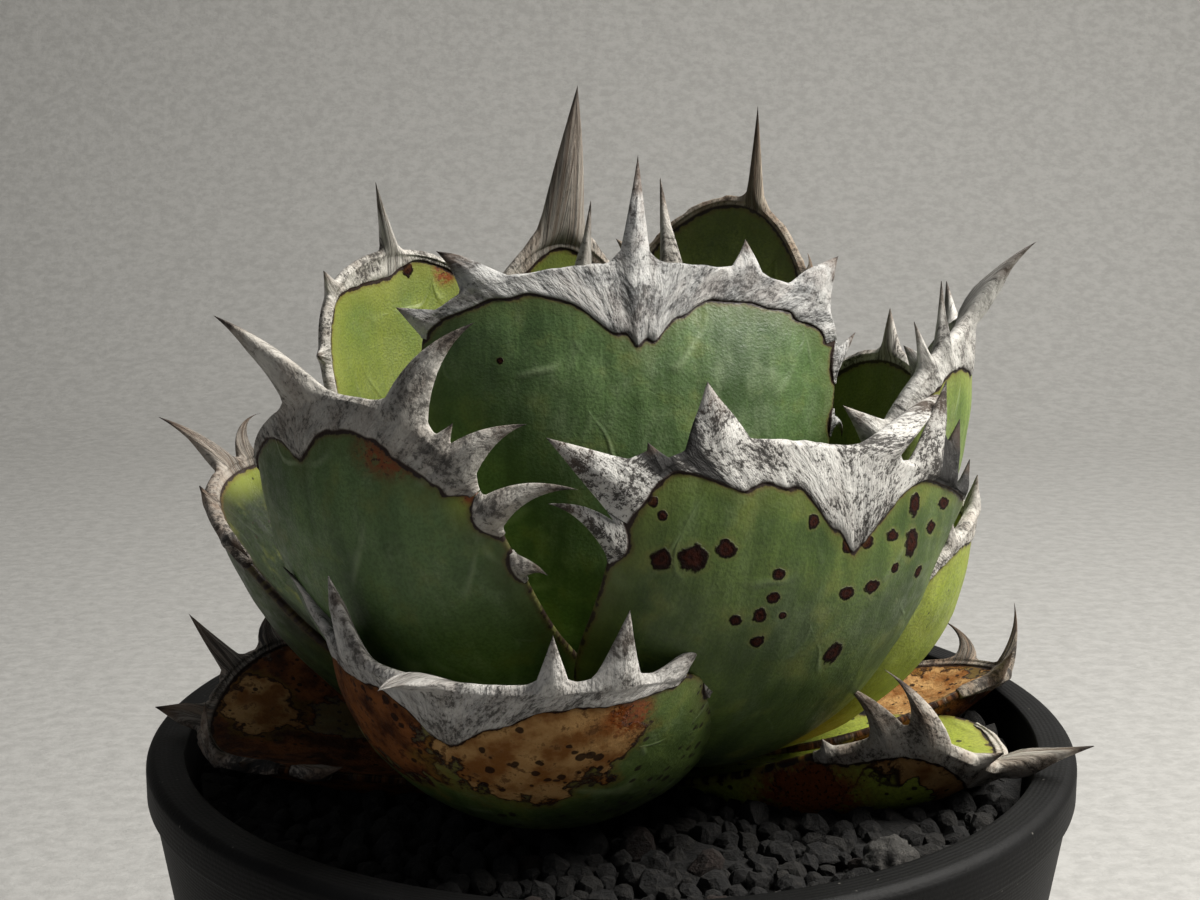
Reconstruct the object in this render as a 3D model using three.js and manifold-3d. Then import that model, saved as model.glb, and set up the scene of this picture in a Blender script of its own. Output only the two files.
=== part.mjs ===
// A potted agave: a rosette of thick cupped leaves with pale toothed horn margins, on a short stem,
// in dark grit, in a round matt pot. Millimetres, +Z up. The origin is the centre of the pot's
// underside and the front of the plant faces -Y. Every leaf is a flat outline (u across, v along the
// midrib) that is curled across and laid along a bent midrib; its horn is the band round the margin.
import * as THREE from "three";
import { mergeVertices } from "three/addons/utils/BufferGeometryUtils.js";
import Module from "manifold-3d";

const wasm = await Module();
wasm.setup();

const DEG = Math.PI / 180;
const GAP = 0.3; // clearance that every piece keeps to its neighbours
const SHARPEST = 0.5; // a corner that is moved out by a clearance moves at most that over this

const POT = {
  rimRadius: 60,
  height: 105,
  rimWidth: 5,
  rimRound: 1.6,
  bandHeight: 5.5, // plain band under the rim, down to the line where the side starts
  bandStep: 0.5,
  taper: 9 * DEG,
  floor: 4,
  footRound: 1.5,
  holeRadius: 4,
  holeCircle: 22,
  holes: 5,
  holeSegments: 16,
  segments: 44,
};
const SOIL = {
  top: 98.6,
  relief: 2.4, // height of the grit as relief
  rings: 9,
  sectors: 40,
  inset: 0.7, // clearance of its edge to the many-sided inside of the pot
  pebble: { x: 32, y: -38, radius: 4, height: 3.2 },
  seed: 7,
};
const STEM = {
  // radius and height of the stem's outline, from inside the soil up to the growing point
  profile: [[7.5, 96], [7.5, 111], [6, 116], [4, 121]],
  foot: 82,
  crown: 123,
  segments: 16,
};
const LEAF = {
  thick: 7, // at the thickest place of a full-grown leaf
  rootThin: 0.34, // thickness at the root and at the tip, as shares of it
  tipThin: 0.5,
  thickAt: 0.45, // where that place is, as a share of the midrib
  fatness: 2.2, // exponent of the way the thickness falls off towards the margin
  bend: 0.42, // how firmly the midrib keeps its slope at both ends, as a share of its span
  edge: 0.5, // usual half of the thickness at the margin
  lip: 0.5, // horn that stands past the leaf's flesh
  hornProud: 0.15, // horn that stands above the leaf's faces
  hornInside: 1.1, // usual width of the horn on the inner face
  rootBare: 4, // margin at the root that never has horn
  seam: 0.9, // width of the seam between the horn and the green part
  seamMost: 0.75, // the horn's widest place, as a share of the way from the margin to the midrib
  core: 0.42, // usual share of a tooth's foot that the tooth itself takes, before it flares out
  flare: 0.3, // share of a tooth's height that its flaring foot makes up
  toothTip: 0.36, // half the thickness at a tooth's tip
  toothHalf: 0.8, // half the thickness at the foot of a tooth, and of the end spine
  spineHalf: 1.4,
  spineFoot: 0.12, // how far up a tooth it takes to reach that
  liftFoot: 0.6, // share of its lift that a tooth already has at its foot
  fanFrom: 0.15, // the rows of a leaf aim at points of the midrib between these shares of it
  fanTo: 0.72,
  margin: 48, // points that sample each side of a leaf's outline
  chord: 2, // half the stretch of margin that gives its direction
  bladeStep: 8, // largest spacing of points along the margin
  curlStep: 0.3, // largest spacing as a share of the leaf's width
  hornStep: 6.5,
  closest: 0.25, // smallest spacing
  // rings of points between the margin and the midrib, and whether a tooth has points at the ends of
  // its foot, for leaves in full view and for the others
  fine: { step: 1, rings: [0, 0.42, 0.9], footEnds: true },
  coarse: { step: 1.4, rings: [0, 0.72], footEnds: false },
};

// A tooth or the end spine. place is where it stands along the margin from the leaf's tip, negative on
// the left, and half is half its foot. lean tilts it along the margin, hook bends it further towards
// its point and lift raises it out of the blade, in degrees.
const spur = (place, height, half, more = {}) => (
  { place, height, half, lean: 0, hook: 0, lift: 0, core: LEAF.core, ...more });

// The leaves from the growing point outwards, about 137 degrees apart, as they grew. heading is the
// compass direction from the front towards the right; root and tip are [radius, height] of the
// midrib's ends, aside moves the tip sideways and rise is the midrib's slope at both ends; lean tilts
// the tip sideways, roll turns the blade about its midrib and cup is its curl to each side at both
// ends, in degrees. line says how deep the horn reaches at some places along the margin, as
// [place, depth] from its left end to its right end.
const LEAVES = [
  { coarse: true, heading: -26, root: [2, 122], tip: [1, 155], rise: [86, 92], width: 10,
    cup: [60, 60], rootWidth: 8, broadAt: 0.5, blunt: 2, thick: 3.5,
    line: [[-10, 0.5], [0, 3], [10, 0.5]],
    spurs: [spur(0, 8, 2.5)] },
  { coarse: true, heading: -79, root: [5, 120], tip: [3, 161], rise: [75, 96], width: 22,
    cup: [75, 60], aside: -5, rootWidth: 12, blunt: 2.5, thick: 5,
    line: [[-18, 0.5], [-11.5, 1.6], [0, 5], [11.5, 1.6], [18, 0.5]],
    spurs: [spur(0, 12, 3)] },
  { coarse: true, heading: 60, root: [5, 119], tip: [6, 163], rise: [70, 98], width: 24,
    cup: [75, 60], aside: 5, rootWidth: 13, blunt: 2.5, thick: 5,
    line: [[-18, 0.5], [-11.5, 1.6], [0, 5], [11.5, 1.6], [18, 0.5]],
    spurs: [spur(0, 13, 3.5)] },
  { heading: -156, root: [6, 117], tip: [17, 167], rise: [50, 106], width: 30, cup: [55, 35],
    blunt: 1.5, thick: 6, inside: 1.8, edge: 0.4,
    line: [[-26, 0.5], [-6, 1.5], [0, 0.9], [6, 1.8], [26, 0.5]],
    spurs: [spur(0, 20, 7.5, { lean: -6, lift: 15, core: 0.4 })] },
  { heading: 149, root: [7, 115], tip: [39, 170], rise: [30, 96], width: 48, cup: [55, 35],
    lean: -20, broadAt: 0.5, blunt: 1.1, inside: 0.7, edge: 0.35,
    line: [[-34, 0.5], [-8, 0.7], [0, 1.4], [8, 0.7], [30, 0.5]],
    spurs: [spur(0, 13.5, 2.8, { lean: 16 }), spur(-14, 4, 2.5, { lean: 30, hook: 40 }),
      spur(20, 4, 3), spur(28, 4, 3)] },
  { heading: 6, root: [7, 114], tip: [20, 168], rise: [20, 116], width: 52, cup: [62, 30],
    aside: 0.6, broadAt: 0.72, blunt: 7,
    line: [[-28, 0.6], [-22, 2.3], [-14.5, 2.8], [-3, 8.8], [0.5, 9.6], [4, 8.6], [11, 4.5],
      [23, 4.3], [28.8, 1.8]],
    spurs: [spur(0, 14, 4, { lean: 5, lift: -5 }), spur(-26, 5.2, 2.8, { core: 0.65 }),
      spur(-17.5, 8, 5, { lean: -28, hook: -10, core: 0.6 }),
      spur(13.5, 4.2, 4.5, { lean: 4, hook: -10 }),
      spur(22.5, 7.5, 5.5, { lean: -5, hook: 15, core: 0.6 }),
      spur(31.8, 5.7, 2.8, { lean: -52, core: 0.6 }), spur(40, 3.5, 2, { lean: -30, hook: 70 })] },
  { heading: -136, root: [7, 112], tip: [43, 163.5], rise: [20, 98], width: 34, cup: [55, 35],
    aside: 1.5, blunt: 5, inside: 3.4, edge: 0.4,
    line: [[-34, 0.5], [-5, 0.8], [2, 3.4], [8, 2.8], [13, 1], [34, 0.5]],
    spurs: [spur(0, 10.5, 2.6, { lean: 20, core: 0.5 }), spur(-24, 3.5, 3), spur(13, 4, 3),
      spur(23, 4, 3)] },
  { heading: 76, root: [8, 110], tip: [44, 160], rise: [12, 88], width: 44, cup: [55, 35],
    line: [[-34, 0.5], [-24, 2.4], [-12, 3], [0, 6], [12, 2.6], [28, 0.5]],
    spurs: [spur(0, 12.5, 5, { lift: 38, core: 0.5 }), spur(-26, 8, 4, { lean: 20, core: 0.6 }),
      spur(-15, 6.5, 2.6), spur(-11, 8, 2.8, { lean: 10 }), spur(14, 6, 4), spur(24, 5, 4)] },
  { heading: -46, root: [8, 108], tip: [47, 154.5], rise: [5, 97], width: 48, cup: [60, 35],
    lean: -16, broadAt: 0.5, blunt: 3.6,
    line: [[-22, 0.5], [-10, 2], [-1, 6], [5.5, 3], [13, 3], [18, 3.4], [23.5, 2.4], [25.2, 0.6]],
    spurs: [spur(0, 13.5, 6.5, { lean: -20, lift: 40, core: 0.55 }),
      spur(14.5, 12.5, 5.5, { lean: -12, hook: 27, core: 0.5 }),
      spur(22, 8.5, 4.5, { lean: -6, hook: 22 }), spur(19.2, 2, 1.2, { core: 0.6 }),
      spur(27.7, 9.5, 2.4, { lean: -14, hook: 30, core: 0.75 }),
      spur(34, 3, 1.8, { lean: 20, hook: 30, core: 0.7 })] },
  { coarse: true, heading: 176, root: [8, 107], tip: [46, 150], rise: [5, 95], width: 48,
    cup: [60, 35], broadAt: 0.66, blunt: 5,
    line: [[-32, 0.5], [-11.5, 3.2], [0, 7], [11.5, 3.2], [32, 0.5]],
    spurs: [spur(0, 12, 4, { lift: 15 }), spur(-27, 7, 5), spur(-16, 7, 6), spur(14, 6, 6),
      spur(25, 8, 5)] },
  { heading: 39, root: [8, 106], tip: [46, 149], rise: [5, 95], width: 58, cup: [60, 35], lean: 17,
    broadAt: 0.66, blunt: 6,
    line: [[-32.6, 0.5], [-30, 1], [-26, 0.9], [-21, 4.8], [-13.5, 4.4], [-8.5, 9.2], [-3.5, 9.8],
      [11.5, 0.9], [24, 0.5]],
    spurs: [spur(0, 20.5, 5.5, { lean: 52, hook: 8, lift: -10, core: 0.55 }),
      spur(-34.8, 7.8, 2.1, { lean: 36, hook: -25, core: 0.75 }),
      spur(-30, 10.5, 4.5, { lean: -8, core: 0.7 }), spur(-26.5, 2.2, 1.6, { core: 0.7 }),
      spur(-20, 6.3, 5.5, { lean: -5, core: 0.65 }), spur(10, 10.5, 5, { core: 0.75 }),
      spur(15, 7.5, 4, { core: 0.8 }), spur(21, 5, 2.6, { core: 0.6 })] },
  { heading: -98, root: [8, 105], tip: [51, 138], rise: [0, 66], width: 41, cup: [55, 38], roll: 9,
    blunt: 3.5, inside: 1.2,
    line: [[-24, 0.5], [-10, 1.2], [0, 3.5], [8, 1.5], [24, 0.5]],
    spurs: [spur(0, 11, 3.8, { lift: 35 }), spur(-5, 7, 2.6, { lean: 25, hook: -70, core: 0.6 }),
      spur(-18, 5, 4), spur(12, 2.5, 2), spur(20, 5, 3, { lean: 10, hook: 60 })] },
  { coarse: true, heading: 124, root: [8, 104.5], tip: [47, 150], rise: [6, 94], width: 36,
    cup: [52, 35], blunt: 3,
    line: [[-28, 0.5], [-11.5, 1.76], [0, 5], [11.5, 1.76], [28, 0.5]],
    spurs: [spur(0, 6, 3.5), spur(-22, 4, 4), spur(-13, 6, 4), spur(13, 5, 4), spur(23, 5, 4)] },
  { heading: -21, root: [8, 103], tip: [52.5, 127], rise: [5, 70], width: 60, cup: [58, 72],
    lean: -2, roll: 5,
    line: [[-31, 0.6], [-20, 3], [-8, 2], [1.5, 7], [8, 5], [14, 2.6], [22, 3], [29, 1.2]],
    spurs: [spur(0, 7, 4.5, { lean: -40, lift: 60, core: 0.6 }), spur(-33, 6, 4),
      spur(-22, 10, 4, { lean: -35, hook: 20, lift: 30, core: 0.6 }),
      spur(-13, 10, 6, { lean: -10, hook: 10, core: 0.6 }), spur(13, 6.5, 4),
      spur(20, 8.5, 5, { core: 0.55 }), spur(27, 5.5, 4, { lean: 25, hook: 20, core: 0.6 }),
      spur(37.5, 7, 3.2, { lean: 30, hook: -70, lift: 40, core: 0.85 })] },
  { coarse: true, heading: -149, root: [8, 103], tip: [51, 129], rise: [-2, 72], width: 44,
    cup: [58, 45],
    line: [[-32, 0.5], [-11.5, 3.2], [0, 6], [11.5, 3.2], [32, 0.5]],
    spurs: [spur(0, 9, 4, { lift: 30 }), spur(-27, 7, 5), spur(-15, 6, 5), spur(14, 6, 5),
      spur(26, 7, 5)] },
  { coarse: true, heading: 78, root: [8, 102.5], tip: [45.5, 136], rise: [14, 82], width: 42,
    cup: [55, 35], blunt: 3.5, thick: 5.5,
    line: [[-38, 0.5], [-12, 1], [0, 3], [12, 1], [26, 0.5]],
    spurs: [spur(0, 4.5, 3), spur(-38, 3.5, 2.4), spur(-30, 4, 2.6), spur(-20, 5, 3),
      spur(-11, 4, 3), spur(14, 5, 4), spur(24, 5, 4)] },
  { coarse: true, heading: 161, root: [8, 101.5], tip: [53, 120], rise: [-7, 60], width: 40,
    cup: [58, 45],
    line: [[-30, 0.5], [-11.5, 3.2], [0, 6], [11.5, 3.2], [30, 0.5]],
    spurs: [spur(0, 9, 4, { lift: 30 }), spur(-25, 7, 5), spur(-14, 6, 5), spur(14, 6, 5),
      spur(25, 7, 5)] },
  { coarse: true, heading: 106, root: [8, 100.5], tip: [56.5, 107.5], rise: [-8, 30], width: 27,
    cup: [45, 40], roll: 14, blunt: 3, thick: 4.5,
    line: [[-18, 0.5], [-8, 1.6], [0, 3], [8, 1.6], [18, 0.5]],
    spurs: [spur(0, 9, 3, { lift: -50 }), spur(-11, 5, 4), spur(8.5, 9, 3.6, { hook: 40 })] },
  { heading: 71, root: [8, 99.5], tip: [51, 105.5], rise: [-5, 20], width: 34, cup: [55, 48],
    roll: 17, blunt: 4, thick: 8,
    line: [[-31, 0.5], [-26, 1.6], [-14, 2], [-3, 4], [6, 2], [16, 0.5]],
    spurs: [spur(0, 11.5, 3, { core: 0.8 }), spur(-29, 1.8, 2.4),
      spur(-20.5, 9.5, 4, { hook: -35, core: 0.6 }),
      spur(-15.5, 11.5, 4.5, { lean: -12, hook: -40, core: 0.65 }), spur(-7, 3, 3)] },
  { heading: -86, root: [8, 101], tip: [53, 107], rise: [-8, 15], width: 38, cup: [40, 37],
    roll: 13, blunt: 3, thick: 5,
    line: [[-25, 0.5], [-8, 1.4], [0, 3], [7, 1.4], [15, 2], [23, 0.5]],
    spurs: [spur(0, 6, 3.5, { core: 0.8 }), spur(-17.5, 6.5, 3.5, { lean: 5, hook: -45 }),
      spur(-11, 10, 4, { lean: -15 }), spur(13, 8, 3.5, { lean: 20, lift: -60, core: 0.6 }),
      spur(19, 2, 2), spur(27, 5.5, 2.6, { lean: 45, core: 0.8 })] },
];

const FINISH = {
  blade: { color: 0x75885f, roughness: 0.6, metalness: 0 },
  oldBlade: { color: 0x85804f, roughness: 0.66, metalness: 0 },
  horn: { color: 0xb9b4aa, roughness: 0.72, metalness: 0 },
  stem: { color: 0x8a8f68, roughness: 0.8, metalness: 0 },
  soil: { color: 0x262322, roughness: 0.95, metalness: 0 },
  pot: { color: 0x2c2c2e, roughness: 0.5, metalness: 0 },
};
const OLD_LEAVES = 3; // the lowest leaves, which are withering

const clamp = (x, lo, hi) => Math.min(Math.max(x, lo), hi);
const mix = (a, b, t) => a + (b - a) * t;

// A leaf's shape. Flat points are Vector2 (u, v); sigma is the length along the margin from the tip,
// negative down the left side; depth is a length inwards from the margin.
class Leaf {
  constructor(spec) {
    const usual = {
      aside: 0,
      lean: 0,
      roll: 0,
      rootWidth: 14,
      broadAt: 0.6,
      thick: LEAF.thick,
      blunt: 4,
      inside: LEAF.hornInside,
      edge: LEAF.edge,
      coarse: false,
    };
    Object.assign(this, usual, spec);
    this.detail = this.coarse ? LEAF.coarse : LEAF.fine;
    const heading = spec.heading * DEG;
    this.radial = new THREE.Vector3(Math.sin(heading), -Math.cos(heading), 0);
    this.across = new THREE.Vector3(Math.cos(heading), Math.sin(heading), 0);
    const root = this.spot(spec.root);
    const tip = this.spot(spec.tip).addScaledVector(this.across, this.aside);
    const pull = LEAF.bend * root.distanceTo(tip);
    const out = this.slope(spec.rise[0], 0);
    const end = this.slope(spec.rise[1], this.lean);
    this.midrib = new THREE.CubicBezierCurve3(
      root,
      root.clone().addScaledVector(out, pull),
      tip.clone().addScaledVector(end, -pull),
      tip,
    );
    this.length = this.midrib.getLength();
    this.traceMargin();
  }

  spot([radius, height]) {
    return new THREE.Vector3(0, 0, height).addScaledVector(this.radial, radius);
  }

  // Unit vector that climbs by rise degrees away from the stem and leans sideways.
  slope(rise, lean) {
    return new THREE.Vector3(0, 0, Math.sin(rise * DEG))
      .addScaledVector(this.radial, Math.cos(rise * DEG))
      .multiplyScalar(Math.cos(lean * DEG))
      .addScaledVector(this.across, Math.sin(lean * DEG));
  }

  // The point of space at flat (u, v), n outwards from the leaf's middle surface.
  place(u, v, n) {
    const share = clamp(v / this.length, 0, 1);
    const along = this.midrib.getTangentAt(share);
    const centre = this.midrib.getPointAt(share).addScaledVector(along, v - share * this.length);
    const side = this.across.clone().addScaledVector(along, -along.dot(this.across)).normalize();
    const outward = new THREE.Vector3().crossVectors(side, along);
    const turn = this.roll * share * DEG;
    const s = side.clone().multiplyScalar(Math.cos(turn)).addScaledVector(outward, Math.sin(turn));
    const o = outward.multiplyScalar(Math.cos(turn)).addScaledVector(side, -Math.sin(turn));
    const curl = (mix(this.cup[0], this.cup[1], share) * DEG) / (this.width / 2);
    const radius = 1 / curl + n;
    return centre
      .addScaledVector(s, radius * Math.sin(curl * u))
      .addScaledVector(o, radius * Math.cos(curl * u) - 1 / curl);
  }

  // Samples the outline: it widens from the root to broadAt and closes in a blunt round end.
  traceMargin() {
    const { broadAt, blunt, width, rootWidth, length } = this;
    const right = [];
    for (let i = 0; i < LEAF.margin; i++) {
      const share = i / LEAF.margin;
      const half = mix(rootWidth / 2, width / 2, Math.sin((share * Math.PI) / 2));
      right.push([half, share * broadAt * length]);
    }
    for (let i = 0; i <= LEAF.margin; i++) {
      const turn = ((i / LEAF.margin) * Math.PI) / 2;
      const share = Math.pow(Math.sin(turn), 2 / blunt);
      right.push([(width / 2) * Math.cos(turn), mix(broadAt, 1, share) * length]);
    }
    const left = right.map(([u, v]) => [-u, v]);
    this.outline = [...left, ...right.reverse().slice(1)].map(([u, v]) => new THREE.Vector2(u, v));
    this.sigmas = [0];
    for (let i = 1; i < this.outline.length; i++)
      this.sigmas.push(this.sigmas[i - 1] + this.outline[i].distanceTo(this.outline[i - 1]));
    this.side = this.sigmas[left.length - 1];
    this.sigmas = this.sigmas.map((s) => s - this.side);
  }

  marginAt(sigma) {
    const end = this.sigmas.length - 1;
    const s = clamp(sigma, this.sigmas[0], this.sigmas[end]);
    const i = Math.max(1, this.sigmas.findIndex((x) => x >= s));
    const share = (s - this.sigmas[i - 1]) / (this.sigmas[i] - this.sigmas[i - 1]);
    return this.outline[i - 1].clone().lerp(this.outline[i], share);
  }

  // Directions in the flat leaf: along the margin, and outwards from it.
  headingAt(sigma) {
    const along = this.marginAt(sigma + LEAF.chord).sub(this.marginAt(sigma - LEAF.chord)).normalize();
    return { along, outward: new THREE.Vector2(-along.y, along.x) };
  }

  // The leaf's edge at sigma with its spine and teeth: where it lies in the flat leaf, how far it is
  // lifted out of it, how far up a tooth it is, from 0 to 1, and whether that is the end spine.
  edgeAt(sigma) {
    const { outward } = this.headingAt(sigma);
    const flat = this.marginAt(sigma).addScaledVector(outward, LEAF.lip);
    let lifted = 0;
    let climb = 0;
    let onSpine = false;
    for (const { place, height, half, lean, hook, lift, core } of this.spurs) {
      const away = Math.abs(sigma - place) / half;
      if (away >= 1) continue;
      const up = mix(Math.max(0, 1 - away / core), Math.pow(1 - away, 2), LEAF.flare);
      const at = this.headingAt(place);
      const turn = (lean + hook * up) * DEG;
      const raise = lift * mix(LEAF.liftFoot, 1, up) * DEG;
      flat.addScaledVector(at.outward, height * up * Math.cos(turn) * Math.cos(raise));
      flat.addScaledVector(at.along, height * up * Math.sin(turn) * Math.cos(raise));
      lifted += height * up * Math.sin(raise);
      if (up > climb) {
        climb = up;
        onSpine = place === 0;
      }
    }
    return { flat, lifted, climb, onSpine };
  }

  // How far the horn runs from the tip down each margin.
  get hornEnds() {
    const most = this.side - LEAF.rootBare;
    return [Math.max(this.line[0][0], -most), Math.min(this.line.at(-1)[0], most)];
  }

  // The width of the horn band on the outer face at sigma; 0 where there is none.
  bandAt(sigma) {
    const [lo, hi] = this.hornEnds;
    if (sigma < lo || sigma > hi) return 0;
    const i = clamp(this.line.findIndex(([place]) => place > sigma), 1, this.line.length - 1);
    const [[from, start], [to, end]] = [this.line[i - 1], this.line[i]];
    return mix(start, end, THREE.MathUtils.smoothstep(sigma, from, to));
  }

  // The width of the horn on one face: side is 1 for the outer face and -1 for the inner one.
  hornOn(sigma, side) {
    const band = this.bandAt(sigma);
    return side > 0 ? band : Math.min(this.inside, band);
  }

  // The point of the midrib that the row from flat point from aims at.
  aimOf(from) {
    return new THREE.Vector2(0, clamp(from.y, LEAF.fanFrom * this.length, LEAF.fanTo * this.length));
  }

  // The flat point depth inwards on the row from a margin point, and half the leaf's thickness there.
  within(from, depth) {
    const to = this.aimOf(from);
    const share = clamp(depth / from.distanceTo(to), 0, 1);
    const flat = from.clone().lerp(to, share);
    const along = clamp(flat.y / this.length, 0, 1);
    const body = along < LEAF.thickAt
      ? mix(LEAF.rootThin, 1, Math.sin(((along / LEAF.thickAt) * Math.PI) / 2))
      : mix(1, LEAF.tipThin, (along - LEAF.thickAt) / (1 - LEAF.thickAt));
    const full = (this.thick * body) / 2;
    return { flat, half: mix(this.edge, full, 1 - Math.pow(1 - share, LEAF.fatness)) };
  }

  // Where the faces need points along the margin from lo to hi: at the given marks and at even steps
  // between them.
  stations(lo, hi, step, marks) {
    const kept = [lo, hi];
    for (const s of marks)
      if (s > lo && s < hi && kept.every((k) => Math.abs(k - s) > LEAF.closest)) kept.push(s);
    kept.sort((a, b) => a - b);
    const all = [lo];
    for (const s of kept.slice(1)) {
      const from = all[all.length - 1];
      const parts = Math.max(1, Math.round((s - from) / step));
      for (let i = 1; i < parts; i++) all.push(mix(from, s, i / parts));
      all.push(s);
    }
    return all;
  }

  // Points that draw the spine and teeth, their tips first.
  marksOf(spurs) {
    const corners = ({ half, core }) => (this.detail.footEnds ? [core * half, half] : [core * half]);
    const ends = spurs.flatMap((s) => corners(s).flatMap((x) => [s.place - x, s.place + x]));
    return [...spurs.map(({ place }) => place), ...ends];
  }

  // Where the horn's inner line and the green part's outline have their corners.
  get knots() {
    const [lo, hi] = this.hornEnds;
    const bare = this.spurs.filter(({ place }) => place < lo || place > hi);
    const corners = this.line.slice(1, -1).map(([place]) => place);
    const marks = [lo - LEAF.seam, lo, hi, hi + LEAF.seam, ...corners, ...this.marksOf(bare)];
    const step = Math.min(LEAF.bladeStep * this.detail.step, LEAF.curlStep * this.width);
    return this.stations(-this.side, this.side, step, marks);
  }

  // The point of space on the horn's inner line at sigma, which runs straight between two knots.
  onInnerLine(sigma, knots, side) {
    const i = clamp(knots.findIndex((k) => k >= sigma), 1, knots.length - 1);
    const share = clamp((sigma - knots[i - 1]) / (knots[i] - knots[i - 1]), 0, 1);
    const [a, b] = [knots[i - 1], knots[i]].map((k) => {
      const { flat, half } = this.within(this.marginAt(k), this.hornOn(k, side));
      return this.place(flat.x, flat.y, side * (half + LEAF.hornProud));
    });
    return a.lerp(b, share);
  }
}

// A closed geometry as a solid for cutting and joining.
function solidOf(geometry) {
  const bare = geometry.index ? geometry.toNonIndexed() : geometry;
  const g = new THREE.BufferGeometry().setAttribute("position", bare.getAttribute("position"));
  const merged = mergeVertices(g, 1e-3);
  return new wasm.Manifold(new wasm.Mesh({
    numProp: 3,
    vertProperties: merged.attributes.position.array,
    triVerts: new Uint32Array(merged.index.array),
  }));
}

function geometryOf(body) {
  const mesh = body.getMesh();
  return new THREE.BufferGeometry()
    .setAttribute("position", new THREE.BufferAttribute(new Float32Array(mesh.vertProperties), 3))
    .setIndex(new THREE.BufferAttribute(new Uint32Array(mesh.triVerts), 1));
}

// The solid that closed triangles between points make, facing out whichever way they run.
function solidFrom(points, triangles) {
  const flat = new Float32Array(triangles.length * 9);
  triangles.forEach((t, i) => t.forEach((k, j) => points[k].toArray(flat, i * 9 + j * 3)));
  const loose = new THREE.BufferGeometry().setAttribute("position", new THREE.BufferAttribute(flat, 3));
  const body = solidOf(loose);
  if (body.volume() > 0) return body;
  return solidFrom(points, triangles.map(([a, b, c]) => [a, c, b]));
}

// The body with its surface moved outwards by a clearance, for cutting its neighbours. Each vertex
// moves along the mean of its faces' directions, and further where they meet sharply.
function swollen(body, by) {
  const mesh = body.getMesh();
  const at = (i) => new THREE.Vector3().fromArray(mesh.vertProperties, i * mesh.numProp);
  const points = Array.from({ length: mesh.numVert }, (_, i) => at(i));
  const around = points.map(() => []);
  for (let i = 0; i < mesh.triVerts.length; i += 3) {
    const corners = [...mesh.triVerts.subarray(i, i + 3)];
    const [a, b, c] = corners.map((k) => points[k]);
    const normal = new THREE.Triangle(a, b, c).getNormal(new THREE.Vector3());
    corners.forEach((k, j) => {
      const one = points[corners[(j + 1) % 3]].clone().sub(points[k]);
      const two = points[corners[(j + 2) % 3]].clone().sub(points[k]);
      around[k].push({ normal, angle: one.angleTo(two) });
    });
  }
  points.forEach((p, i) => {
    const way = new THREE.Vector3();
    for (const { normal, angle } of around[i]) way.addScaledVector(normal, angle);
    way.normalize();
    const least = Math.min(...around[i].map(({ normal }) => normal.dot(way)));
    p.addScaledVector(way, by / Math.max(least, SHARPEST)).toArray(mesh.vertProperties, i * mesh.numProp);
  });
  return new wasm.Manifold(mesh).add(body);
}

const largest = (body) => body.decompose().sort((a, b) => b.volume() - a.volume())[0];

// The main body that a cut leaves, with the vertices that all but touch merged.
const mainBody = (body) => largest(solidOf(geometryOf(largest(body))));

// Triangles between two closed loops of n points each that start at a and b.
function strip(a, b, n) {
  const out = [];
  for (let i = 0; i < n; i++) {
    const j = (i + 1) % n;
    out.push([a + i, a + j, b + j], [a + i, b + j, b + i]);
  }
  return out;
}

// The green part of a leaf: two faces made of rings that shrink from the horn's inner line, or from
// the bare margin, towards the midrib, joined by a narrow side.
function bladeSolid(leaf) {
  const { rings } = leaf.detail;
  const root = { from: new THREE.Vector2(0, 0) };
  const loop = [...leaf.knots.map((sigma) => ({ sigma, from: leaf.marginAt(sigma) })), root];
  const spotOn = ({ sigma, from }, ring, side) => {
    const hasHorn = sigma !== undefined && leaf.bandAt(sigma) > 0;
    if (ring === 0 && sigma !== undefined && !hasHorn) {
      const { flat, lifted, climb } = leaf.edgeAt(sigma);
      return { flat, n: lifted + side * mix(leaf.edge, LEAF.toothTip, climb) };
    }
    const run = from.distanceTo(leaf.aimOf(from));
    const start = hasHorn ? Math.min(leaf.hornOn(sigma, side) + LEAF.seam, LEAF.seamMost * run) : 0;
    const { flat, half } = leaf.within(from, mix(start, run, ring));
    return { flat, n: side * half };
  };
  const spots = [1, -1].flatMap((side) => rings.flatMap((ring) => loop.map((p) => spotOn(p, ring, side))));
  const points = spots.map(({ flat, n }) => leaf.place(flat.x, flat.y, n));
  const count = loop.length;
  const back = rings.length * count;
  const last = back - count;
  const triangles = strip(0, back, count);
  for (let k = 0; k < last; k += count) {
    triangles.push(...strip(k, k + count, count).map(([a, b, c]) => [a, c, b]));
    triangles.push(...strip(back + k, back + k + count, count));
  }
  // Inside the last ring, triangles zip its left side to its right side from the root to the tip.
  const reach = spots.slice(last, back).map(({ flat }) => flat.y);
  const cap = (a, b, c) => {
    triangles.push([last + a, last + b, last + c], [back + last + a, back + last + c, back + last + b]);
  };
  let left = 0;
  let right = count - 2;
  cap(count - 1, right, left);
  while (right - left > 1) {
    if (reach[left + 1] <= reach[right - 1]) {
      cap(left, right, left + 1);
      left += 1;
    } else {
      cap(left, right, right - 1);
      right -= 1;
    }
  }
  return solidFrom(points, triangles);
}

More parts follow.
